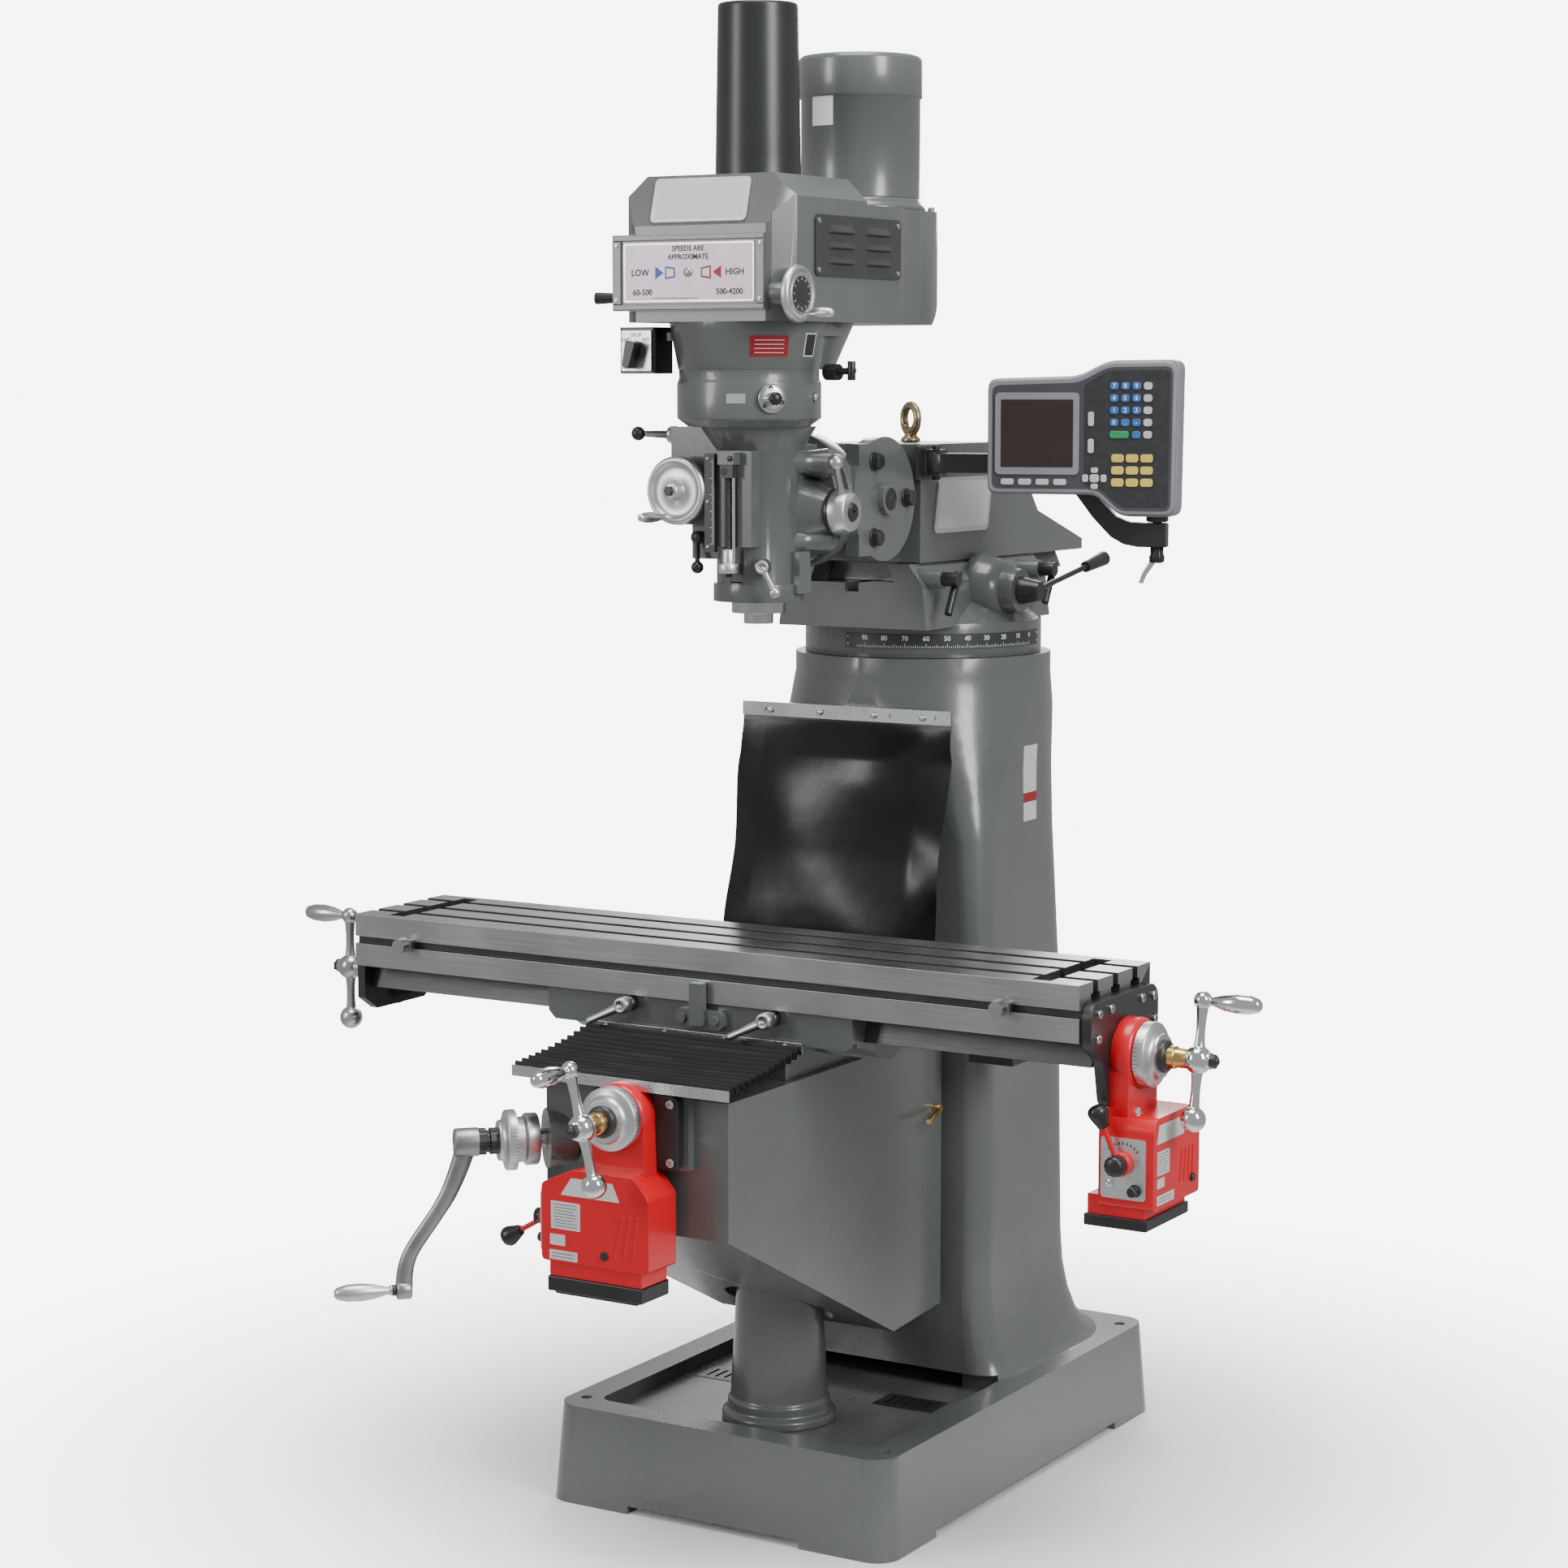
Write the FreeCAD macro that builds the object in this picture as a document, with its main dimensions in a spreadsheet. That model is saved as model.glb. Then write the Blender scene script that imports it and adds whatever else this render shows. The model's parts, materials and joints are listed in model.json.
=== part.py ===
import FreeCAD, Part
import math
import os
import Sketcher

# Vertical turret milling machine.  Millimetres, +Z up, +X to the operator's right,
# +Y from the operator towards the column.  The origin is the centre of the base's
# four anchor bolts, at floor level.

doc = FreeCAD.newDocument("VerticalMill")
sheet = doc.addObject("Spreadsheet::Sheet", "Sizes")


class Size:
    """A number together with the sheet expression that gives it."""

    def __init__(self, value, text):
        self.value = value
        self.text = text

    def __add__(self, other):
        return Size(self.value + number(other), "(%s + %s)" % (self.text, words(other)))

    def __radd__(self, other):
        return self + other

    def __sub__(self, other):
        return Size(self.value - number(other), "(%s - %s)" % (self.text, words(other)))

    def __rsub__(self, other):
        return Size(number(other) - self.value, "(%s - %s)" % (words(other), self.text))

    def __mul__(self, other):
        return Size(self.value * number(other), "(%s * %s)" % (self.text, words(other)))

    def __rmul__(self, other):
        return self * other

    def __truediv__(self, other):
        return Size(self.value / number(other), "(%s / %s)" % (self.text, words(other)))

    def __neg__(self):
        return Size(-self.value, "(0 - %s)" % self.text)


def number(thing):
    return thing.value if isinstance(thing, Size) else float(thing)


def words(thing):
    return thing.text if isinstance(thing, Size) else repr(float(thing))


def size(alias, value):
    """Put one driving dimension in the sheet and hand back its Size."""
    row = size.rows = getattr(size, "rows", 0) + 1
    sheet.set("A%d" % row, alias)
    sheet.set("B%d" % row, str(value))
    sheet.setAlias("B%d" % row, alias)
    return Size(float(value), "Sizes." + alias)


# ---------------------------------------------------------------- driving dimensions
# base and pan
base_length = size("base_length", 916)
base_width = size("base_width", 603)
base_height = size("base_height", 151)
base_draft = size("base_draft_angle", 3.6)
base_corner = size("base_corner_radius", 40)
base_wall = size("base_wall", 26)
foot_gap = size("foot_gap", 12)
foot_length = size("foot_length", 150)
pan_rim = size("pan_rim", 50)
pan_depth = size("pan_depth", 24)
pan_back = size("pan_back", 20)
anchor_across = size("anchor_across", 528)
anchor_along = size("anchor_along", 800)
anchor_hole = size("anchor_hole_radius", 9)

# column
column_front = size("column_front_y", -5)
column_back = size("column_back_y", 392)
column_front_half = size("column_front_half_width", 218)
column_back_half = size("column_back_half_width", 192)
column_top_radius = size("column_top_radius", 204)
column_top_y = size("turret_axis_y", 190)
column_top = size("column_top_z", 1281)
column_wall = size("column_wall", 24)
way_face = size("way_face_y", -27)
way_half = size("way_half_width", 120)
way_bottom = size("way_bottom_z", 250)
way_top = size("way_top_z", 1090)
dovetail_half = size("column_dovetail_half_width", 92)
dovetail_deep = size("column_dovetail_depth", 32)
dovetail_flare = size("column_dovetail_flare", 16)
sheet_thick = size("way_sheet_thickness", 2)
slide_gap = size("slide_gap", 0.4)
joint_gap = size("joint_gap", 0.5)
shaft_gap = size("shaft_gap", 0.05)

# turret and ram
ring_radius = size("turret_ring_radius", 190)
ring_height = size("turret_ring_height", 53)
ram_bottom = size("ram_bottom_z", 1431)
ram_top = size("ram_top_z", 1615)
ram_half = size("ram_half_width", 105)
ram_front = size("ram_front_y", -12)
ram_back = size("ram_back_y", 556)
ram_wall = size("ram_wall", 20)
ram_tail_height = size("ram_tail_height", 18)
dovetail_ram_half = size("ram_dovetail_half_width", 62)
dovetail_ram_depth = size("ram_dovetail_depth", 30)
nod_y = size("nod_axis_y", -124)
nod_z = size("nod_axis_z", 1534)
cheek_radius = size("nod_cheek_radius", 94)
cheek_thick = size("nod_cheek_thickness", 24)
pivot_radius = size("nod_pivot_radius", 24)

# head
spindle_y = size("spindle_axis_y", -320)
swivel_face = size("head_swivel_face_y", -228)
swivel_radius = size("head_swivel_radius", 92)
quill_radius = size("quill_radius", 43)
quill_bottom = size("quill_bottom_z", 1370)
quill_top = size("quill_top_z", 1690)
housing_radius = size("quill_housing_radius", 62)
housing_bottom = size("quill_housing_bottom_z", 1392)
housing_top = size("quill_housing_top_z", 1645)
gear_radius = size("gear_housing_radius", 106)
gear_y = size("gear_housing_centre_y", -346)
gear_top = size("gear_housing_top_z", 1728)
cone_top_radius = size("belt_base_top_radius", 117)
cone_back_y = size("belt_base_back_centre_y", -272)
cone_top = size("belt_base_top_z", 1796)
belt_top = size("belt_housing_top_z", 2006)
belt_left = size("belt_housing_left_x", -150)
belt_right = size("belt_housing_right_x", 130)
belt_front = size("belt_housing_front_y", -456)
belt_wall = size("belt_housing_wall", 9)
motor_y = size("motor_axis_y", -18)
motor_radius = size("motor_radius", 92)
motor_top = size("motor_top_z", 2205)
motor_foot_radius = size("motor_foot_radius", 119)
tube_radius = size("drawbar_cover_radius", 63)
tube_top_radius = size("drawbar_cover_top_radius", 58.7)
tube_top = size("drawbar_cover_top_z", 2256)
tube_wall = size("drawbar_cover_wall", 3)
nose_radius = size("spindle_nose_radius", 22)
nose_bottom = size("spindle_nose_z", 1354)
collet_radius = size("collet_bore_radius", 12.07)
collet_depth = size("collet_bore_depth", 100)
drawbar_radius = size("drawbar_bore_radius", 7)

# knee
knee_half = size("knee_half_width", 155)
knee_front = size("knee_front_y", -657)
knee_top = size("knee_top_z", 705)
knee_nose_bottom = size("knee_nose_bottom_z", 505)
knee_rear_bottom = size("knee_rear_bottom_z", 262)
knee_slope_end = size("knee_slope_end_y", -178)
knee_wall = size("knee_wall", 20)
knee_way_half = size("knee_way_half_width", 88)
knee_way_height = size("knee_way_height", 22)
knee_way_flare = size("knee_way_flare", 12)
pedestal_y = size("pedestal_y", -261)
pedestal_top_radius = size("pedestal_top_radius", 60)
pedestal_foot_radius = size("pedestal_foot_radius", 76)
pedestal_top = size("pedestal_top_z", 440)
screw_radius = size("elevating_screw_radius", 19)

# saddle and table
saddle_left = size("saddle_left_x", -263)
saddle_right = size("saddle_right_x", 262)
saddle_front = size("saddle_front_y", -495)
saddle_back = size("saddle_back_y", -279)
table_y = size("table_centre_y", -387)
table_top = size("table_top_z", 892)
table_thick = size("table_thickness", 81)
table_length = size("table_length", 1245)
table_width = size("table_width", 229)
table_foot = size("table_dovetail_depth", 40)
table_foot_half = size("table_dovetail_half_width", 62)
slot_width = size("slot_width", 16)
slot_pitch = size("slot_pitch", 63.5)
slot_deep = size("slot_depth", 18)
slot_tee_width = size("slot_tee_width", 28)
slot_tee_deep = size("slot_tee_depth", 12)
end_channel = size("end_channel_width", 30)
end_margin = size("end_channel_margin", 52)
screw_z = size("cross_screw_z", 783)
lead_radius = size("lead_screw_radius", 15)

# feed screws and handles
y_screw_x = size("y_screw_x", 6)
y_screw_z = size("y_screw_z", 681)
ball_arm = size("ball_crank_arm", 82)
dial_radius = size("dial_radius", 46)


# ---------------------------------------------------------------- drawing helpers
def bind(thing, field, amount):
    """Bind a property to the sheet, or set it when the amount is a plain number."""
    if isinstance(amount, Size):
        thing.setExpression(field, amount.text)
    else:
        thing.setExpression(field, repr(float(amount)))


def place(thing, at=(0, 0, 0), axis=(0, 0, 1), angle=0):
    """Turn an object by a fixed angle and bind its position."""
    turn = FreeCAD.Rotation(FreeCAD.Vector(*axis), angle)
    thing.Placement = FreeCAD.Placement(FreeCAD.Vector(*[number(value) for value in at]), turn)
    for letter, value in zip("xyz", at):
        if isinstance(value, Size):
            thing.setExpression(".Placement.Base." + letter, value.text)
    return thing


def box(x0, x1, y0, y1, z0, z1):
    """A block between two corners."""
    thing = doc.addObject("Part::Box", "Block")
    bind(thing, "Length", x1 - x0)
    bind(thing, "Width", y1 - y0)
    bind(thing, "Height", z1 - z0)
    return place(thing, (x0, y0, z0))


UP = FreeCAD.Vector(0, 0, 1)


def rod(start, along, length, radius, end_radius=None):
    """A cylinder, or a cone, from a point in a fixed direction."""
    if end_radius is None:
        thing = doc.addObject("Part::Cylinder", "Rod")
        bind(thing, "Radius", radius)
    else:
        thing = doc.addObject("Part::Cone", "Cone")
        bind(thing, "Radius1", radius)
        bind(thing, "Radius2", end_radius)
    bind(thing, "Height", length)
    turn = FreeCAD.Rotation(UP, FreeCAD.Vector(*along))
    return place(thing, start, turn.Axis, math.degrees(turn.Angle))


def ball(centre, radius):
    thing = doc.addObject("Part::Sphere", "Ball")
    bind(thing, "Radius", radius)
    return place(thing, centre)


def ring(centre, along, radius, thickness):
    """A torus round a direction."""
    thing = doc.addObject("Part::Torus", "Ring")
    bind(thing, "Radius1", radius)
    bind(thing, "Radius2", thickness)
    turn = FreeCAD.Rotation(UP, FreeCAD.Vector(*along))
    return place(thing, centre, turn.Axis, math.degrees(turn.Angle))


def plane_of(body, role):
    return [item for item in body.Origin.OriginFeatures if item.Role == role][0]


def outline(body, role, points):
    """A closed sketch through the points, every corner placed by two dimensions."""
    sketch = body.newObject("Sketcher::SketchObject", "Outline")
    sketch.AttachmentSupport = [(plane_of(body, role), "")]
    sketch.MapMode = "FlatFace"
    spots = [FreeCAD.Vector(number(a), number(b), 0) for a, b in points]
    count = len(points)
    for index in range(count):
        sketch.addGeometry(Part.LineSegment(spots[index], spots[(index + 1) % count]), False)
    for index in range(count):
        sketch.addConstraint(Sketcher.Constraint("Coincident", index, 2, (index + 1) % count, 1))
    for index, pair in enumerate(points):
        for kind, amount in zip(("DistanceX", "DistanceY"), pair):
            where = sketch.addConstraint(
                Sketcher.Constraint(kind, -1, 1, index, 1, number(amount)))
            if isinstance(amount, Size):
                sketch.setExpression("Constraints[%d]" % where, amount.text)
    return sketch


def prism(role, points, start, end, round_by=0, draft=0):
    """A polygon padded from start to end along the plane's own positive axis."""
    body = doc.addObject("PartDesign::Body", "Prism")
    sketch = outline(body, role, points)
    pad = body.newObject("PartDesign::Pad", "Pad")
    pad.Profile = sketch
    bind(pad, "Length", end - start)
    if role == "XZ_Plane":
        pad.Reversed = True
    if number(draft):
        bind(pad, "TaperAngle", draft)
    shift = {"XY_Plane": (0, 0, start), "XZ_Plane": (0, start, 0), "YZ_Plane": (start, 0, 0)}
    place(body, shift[role])
    if number(round_by):
        doc.recompute()
        along = {"XY_Plane": 2, "XZ_Plane": 1, "YZ_Plane": 0}[role]
        names = []
        for index, edge in enumerate(pad.Shape.Edges):
            box_ = edge.BoundBox
            spans = (box_.XLength, box_.YLength, box_.ZLength)
            if spans[along] > 0.9 * number(end - start):
                names.append("Edge%d" % (index + 1))
        fillet = body.newObject("PartDesign::Fillet", "Corners")
        fillet.Base = (pad, names)
        bind(fillet, "Radius", round_by)
        body.Tip = fillet
    return body


def turned(points, at, along=(0, 0, 1)):
    """A lathe-turned piece: (radius, distance along the axis) corners."""
    body = doc.addObject("PartDesign::Body", "Turned")
    sketch = outline(body, "XZ_Plane", points)
    turn = body.newObject("PartDesign::Revolution", "Turn")
    turn.Profile = sketch
    turn.ReferenceAxis = (sketch, ["V_Axis"])
    turn.Angle = 360
    rotation = FreeCAD.Rotation(UP, FreeCAD.Vector(*along))
    return place(body, at, rotation.Axis, math.degrees(rotation.Angle))


def fuse(*things):
    thing = doc.addObject("Part::MultiFuse", "Joined")
    thing.Shapes = list(things)
    thing.Refine = True
    return thing


def cut(base, *tools):
    """Take every tool away from the base."""
    for tool in tools:
        thing = doc.addObject("Part::Cut", "Machined")
        thing.Base = base
        thing.Tool = tool
        base = thing
    base.Refine = True
    return base


def group(*things):
    """Loose solids that make up one node."""
    thing = doc.addObject("Part::Compound", "Set")
    thing.Links = list(things)
    return thing


nodes = []


def keep(name, thing):
    """Name a finished sub-part."""
    thing.Label = name
    nodes.append(thing)
    return thing


def ball_lever(start, along, length, radius, knob):
    """A lever rod with a ball grip on its end."""
    direction = FreeCAD.Vector(*along).normalize()
    tip = [value + direction[index] * length for index, value in enumerate(start)]
    return [rod(start, along, length, radius), ball(tip, knob)]


def pear_lever(start, along, length, radius, knob):
    """A lever rod with a pear-shaped grip, thickest at its end."""
    direction = FreeCAD.Vector(*along).normalize()
    foot = [value + direction[index] * (length - knob) for index, value in enumerate(start)]
    return [rod(start, along, length, radius), rod(foot, along, knob * 2, knob * 0.6, knob)]


# ---------------------------------------------------------------- base and column
def column_section(z, front_half, back_half, front_y, back_y, front_round, back_round):
    """One rounded section of the column as a wire, mirrored across X = 0."""
    corners = [(-front_half, front_y, front_round), (front_half, front_y, front_round),
               (back_half, back_y, back_round), (-back_half, back_y, back_round)]
    edges = []
    ends = []
    for index, (x, y, radius) in enumerate(corners):
        here = FreeCAD.Vector(x, y, z)
        before = corners[index - 1]
        after = corners[(index + 1) % 4]
        to_before = (FreeCAD.Vector(before[0], before[1], z) - here).normalize()
        to_after = (FreeCAD.Vector(after[0], after[1], z) - here).normalize()
        half_angle = to_before.getAngle(to_after) / 2
        reach = radius / math.tan(half_angle)
        middle = (to_before + to_after).normalize()
        centre = here + middle * (radius / math.sin(half_angle))
        ends.append((here + to_before * reach, centre - middle * radius, here + to_after * reach))
    for index, (first, bulge, last) in enumerate(ends):
        edges.append(Part.Arc(first, bulge, last).toShape())
        edges.append(Part.LineSegment(last, ends[(index + 1) % 4][0]).toShape())
    return Part.Wire(edges)


def column_loft(shrink, bottom, top, flare):
    """The column's outer skin, or its inside when shrunk by the wall."""
    front = column_front.value + shrink
    back = column_back.value - shrink
    wide = column_front_half.value - shrink
    narrow = column_back_half.value - shrink
    tip = column_top_radius.value - shrink
    tip_y = column_top_y.value
    wires = []
    if flare:
        flare_radius = 170.0
        for turn in (90, 72, 54, 36, 18, 0):
            out = flare_radius * (1 - math.cos(math.radians(turn))) * 0.42
            rise = bottom + flare_radius * (1 - math.sin(math.radians(turn)))
            wires.append(column_section(rise, wide + out * 0.55, narrow + out,
                                        front, back + out, 36 + out * 0.3, 110 + out))
    else:
        wires.append(column_section(bottom, wide, narrow, front, back, 30, 90))
    straight = tip - 4
    wires.append(column_section(760, wide, narrow, front, back - 12, 36 - shrink / 2, 118))
    wires.append(column_section(1000, wide - 5, narrow + 1, front - 1, tip_y + tip - 26,
                                42, 140 - shrink))
    wires.append(column_section(1100, wide - 10, narrow + 3, front - 4, tip_y + tip - 18,
                                86, 158 - shrink))
    wires.append(column_section(1195, tip + 1, tip + 1, tip_y - tip, tip_y + tip - 3,
                                straight - 26, straight - 14))
    wires.append(column_section(top - 30, tip, tip, tip_y - tip, tip_y + tip,
                                straight, straight))
    wires.append(column_section(top, tip, tip, tip_y - tip, tip_y + tip, straight, straight))
    return Part.makeLoft(wires, True, True)


# near corners of the two chip strainers let into the pan
STRAINERS = ((-226, -150), (92, -134))


def column_base_casting():
    half_w = base_width / 2
    half_l = base_length / 2
    block = prism("XY_Plane", [(-half_w, -half_l), (half_w, -half_l), (half_w, half_l),
                               (-half_w, half_l)], 0, base_height, base_corner, -base_draft)
    inset = pan_rim + 9
    pan = prism("XY_Plane", [(-half_w + inset, -half_l + inset), (half_w - inset, -half_l + inset),
                             (half_w - inset, pan_back), (-half_w + inset, pan_back)],
                base_height - pan_depth, base_height + 5, 22)
    skin = doc.addObject("Part::Feature", "ColumnSkin")
    skin.Shape = column_loft(0, base_height.value - 1, column_top.value, True)
    inside = doc.addObject("Part::Feature", "ColumnInside")
    inside.Shape = column_loft(column_wall.value, base_height.value - base_wall.value - 10,
                               column_top.value - column_wall.value, False)
    hollow = box(-half_w + base_wall * 2, half_w - base_wall * 2, -half_l + base_wall * 2,
                 half_l - base_wall * 2, foot_gap + base_wall / 2,
                 base_height - pan_depth - base_wall / 2)
    ways = box(-way_half, way_half, way_face, column_front + 30, way_bottom, way_top)
    tail = dovetail_half + dovetail_flare
    deep = way_face - dovetail_deep
    dovetail = prism("XY_Plane", [(-tail, deep), (tail, deep), (dovetail_half, way_face + 10),
                                  (-dovetail_half, way_face + 10)], way_bottom, way_top)
    pad = box(-105, 105, column_front - 22, column_front + 40, 1150, 1206)
    solid = fuse(block, skin, ways, dovetail, pad)
    reach = half_w + 20
    side_gap = box(-reach, reach, -half_l + foot_length, half_l - foot_length, -5, foot_gap)
    end_gap = box(-half_w + foot_length, half_w - foot_length, -half_l - 20, half_l + 20,
                  -5, foot_gap)
    holes = [rod((x * anchor_across / 2, y * anchor_along / 2, -1), (0, 0, 1),
                 base_height + 2, anchor_hole)
             for x in (-1, 1) for y in (-1, 1)]
    sump = [box(x, x + 104, y, y + 62, base_height - pan_depth - 3, base_height)
            for x, y in STRAINERS]
    screw_pit = rod((0, pedestal_y, foot_gap + base_wall), (0, 0, 1), base_height,
                    screw_radius + 4)
    return keep("column_base_casting",
                cut(solid, pan, side_gap, end_gap, fuse(hollow, inside), screw_pit,
                    *(holes + sump)))


def chip_strainers():
    plates = []
    top = base_height - pan_depth + 1
    for x, y in STRAINERS:
        plate = box(x + 0.5, x + 103.5, y + 0.5, y + 61.5, top - 4, top)
        slots = [box(x + 14 + 16 * index, x + 19 + 16 * index, y + 12, y + 50, top - 5, top + 1)
                 for index in range(5)]
        plates.append(cut(plate, *slots))
    return keep("chip_strainers", group(*plates))


def knee_screw_pedestal():
    floor = base_height - pan_depth
    body = turned([(0, 0), (pedestal_foot_radius + 12, 0), (pedestal_foot_radius + 12, 12),
                   (pedestal_foot_radius + 3, 18), (pedestal_foot_radius + 3, 32),
                   (pedestal_foot_radius - 1, 36), (pedestal_top_radius, pedestal_top - floor),
                   (0, pedestal_top - floor)], (0, pedestal_y, floor))
    bore = rod((0, pedestal_y, floor - 1), (0, 0, 1), pedestal_top - floor + 2, screw_radius + 4)
    nut_seat = rod((0, pedestal_y, pedestal_top - 60), (0, 0, 1), 61, 34)
    nut = cut(rod((0, pedestal_y, pedestal_top - 60), (0, 0, 1), 74, 34),
              rod((0, pedestal_y, pedestal_top - 61), (0, 0, 1), 76, screw_radius + shaft_gap))
    return keep("knee_screw_pedestal", fuse(cut(body, bore, nut_seat), nut))


def way_cover_strip():
    front = column_front - 22 - sheet_thick
    strip = box(-205, 170, front - 4, front, 1184, 1206)
    screws = [rod((x, front - 4, 1196), (0, -1, 0), 2.5, 4) for x in (-165, -60, 60, 140)]
    return keep("way_cover_strip", fuse(strip, *screws))


def way_cover_sheet():
    """The rubber sheet from the column strip down to the saddle's rear edge."""
    pad = column_front - 22
    back = [(pad, 1204), (pad, 1184), (-50, 1140), (-64, 1100), (-68, 1060), (-76, 978),
            (-96, 880), (-130, 812), (-176, 772), (-218, 760)]
    front = [(pad - sheet_thick, 1204), (pad - sheet_thick, 1183), (-52.5, 1139), (-66.5, 1099),
             (-70.5, 1059.6), (-78.4, 977.4), (-98, 879), (-131.6, 810.4), (-177, 770), (-218, 758)]
    return keep("way_cover_sheet", prism("YZ_Plane", back + front[::-1], -204, 170))


# ---------------------------------------------------------------- turret and ram
def turret_casting():
    z = column_top + joint_gap
    disc = rod((0, column_top_y, z), (0, 0, 1), ring_height, ring_radius)
    cone = rod((0, column_top_y, z + ring_height), (0, 0, 1), 40, ring_radius - 4,
               ring_radius - 50)
    saddle_z = ram_bottom - slide_gap
    block = prism("XZ_Plane", [(-132, z + ring_height - 4), (132, z + ring_height - 4),
                               (124, saddle_z - 30), (100, saddle_z), (-100, saddle_z),
                               (-124, saddle_z - 30)],
                  column_top_y - 232, column_top_y + 190, 0)
    boss = rod((96, column_top_y - 22, ram_bottom - 48), (1, 0, 0), 92, 44, 34)
    lock_bosses = [rod((100, y, ram_bottom - 22), (1, 0, 0), 50, 15)
                   for y in (column_top_y - 210, column_top_y + 120)]
    body = fuse(disc, cone, block, boss, *lock_bosses)
    tail = dovetail_ram_half + 14 + slide_gap
    low = ram_bottom - dovetail_ram_depth - slide_gap
    groove = prism("XZ_Plane", [(-tail, low), (tail, low), (dovetail_ram_half + slide_gap, saddle_z + 5),
                                (-dovetail_ram_half - slide_gap, saddle_z + 5)],
                   column_top_y - 240, column_top_y + 200)
    rack_room = box(-12, 12, column_top_y - 240, column_top_y + 200, low - 14, low + 1)
    shaft_bore = rod((120, column_top_y - 22, ram_bottom - 48), (1, 0, 0), 120, 12 + shaft_gap)
    return keep("turret_casting", cut(body, groove, rack_room, shaft_bore))


def turret_degree_scale():
    z = column_top + joint_gap + 14
    band = cut(rod((0, column_top_y, z), (0, 0, 1), 24, ring_radius + 1.2),
               rod((0, column_top_y, z - 1), (0, 0, 1), 26, ring_radius))
    window = prism("XY_Plane", [(0, column_top_y), (-260, column_top_y - 500),
                                (330, column_top_y - 500), (330, column_top_y - 20)],
                   z - 2, z + 28)
    thing = doc.addObject("Part::Common", "Band")
    thing.Base = band
    thing.Tool = window
    return keep("turret_degree_scale", thing)


def ram_lock_lever(name, y):
    start = 100 + 50 + joint_gap
    z = ram_bottom - 22
    head = rod((start, y, z), (1, 0, 0), 26, 11)
    bar = rod((start + 14, y + 22, z + 9), (0.05, -0.55, -0.83), 74, 6)
    return keep(name, fuse(head, bar))


def ram_pinion_lever():
    start = 96 + 92 + joint_gap
    y = column_top_y - 22
    z = ram_bottom - 48
    hub = rod((start, y, z), (1, 0, 0), 34, 22, 15)
    along = FreeCAD.Vector(0.10, 0.93, 0.20).normalize()
    arm = rod((start + 24, y, z), along, 178, 4.5)
    grip_at = [value + along[index] * 150 for index, value in enumerate((start + 24, y, z))]
    grip = rod(grip_at, along, 58, 9, 12)
    return keep("ram_pinion_lever", fuse(hub, arm, grip))


def ram_casting():
    wide = -ram_half
    top = ram_top
    side = prism("YZ_Plane", [(ram_front, ram_bottom), (ram_back, ram_bottom),
                              (ram_back, ram_bottom + ram_tail_height),
                              (ram_back - 165, ram_bottom + 70), (ram_back - 250, top - 12),
                              (ram_back - 320, top), (ram_front, top)],
                 wide, ram_half)
    tongue = prism("XY_Plane", [(-ram_half + cheek_thick + 2, nod_y), (ram_half - cheek_thick - 2, nod_y),
                                (ram_half - cheek_thick - 2, ram_front + 2),
                                (-ram_half + cheek_thick + 2, ram_front + 2)],
                   nod_z - 62, nod_z + 62)
    tail = dovetail_ram_half + 14
    low = ram_bottom - dovetail_ram_depth
    dovetail = prism("XZ_Plane", [(-tail, low), (tail, low), (dovetail_ram_half, ram_bottom + 4),
                                  (-dovetail_ram_half, ram_bottom + 4)],
                     ram_front + 26, ram_back - 20)
    rack = box(-9, 9, ram_front + 40, ram_back - 40, low - 10, low + 1)
    eye = rod((0, nod_y, nod_z), (1, 0, 0), ram_half * 2 - cheek_thick * 2 - 4, 60)
    eye.Placement.Base.x = -number(ram_half) + number(cheek_thick) + 2
    eye.setExpression(".Placement.Base.x", (-ram_half + cheek_thick + 2).text)
    hollow = box(-ram_half + ram_wall, ram_half - ram_wall, ram_front + 30, ram_back - 270,
                 ram_bottom + ram_wall, ram_top - ram_wall)
    pivot = rod((-ram_half - 1, nod_y, nod_z), (1, 0, 0), ram_half * 2 + 2, pivot_radius + shaft_gap)
    stud = rod((0, 145, ram_top - 20), (0, 0, 1), 21, 8 + shaft_gap)
    solid = fuse(side, tongue, dovetail, rack, eye)
    return keep("ram_casting", cut(solid, hollow, pivot, stud))


def ram_badge():
    face = ram_half
    plate = prism("YZ_Plane", [(26, 1476), (206, 1476), (222, 1562), (44, 1562)],
                  face, face + 4)
    return keep("ram_badge", plate)


def lifting_eye():
    stem = rod((0, 145, ram_top - 19.5), (0, 0, 1), 24, 8)
    collar = rod((0, 145, ram_top), (0, 0, 1), 8, 16)
    loop = ring((0, 145, ram_top + 37), (0.6, 1, 0), 21, 7)
    return keep("lifting_eye", fuse(stem, collar, loop))


def dro_bracket():
    plate = box(ram_half, ram_half + 5, -30, 22, 1560, 1612)
    lug = fuse(box(ram_half + 4, ram_half + 36, -20, 6, 1566, 1571),
               box(ram_half + 4, ram_half + 36, -20, 6, 1602, 1607))
    pin = rod((ram_half + 24, -7, 1560), (0, 0, 1), 54, 6)
    return keep("dro_bracket", fuse(plate, lug, pin))


DRO_POST = 346     # along the arm from its hinge
DRO_TURN = 13      # degrees the arm stands back from square


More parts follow.
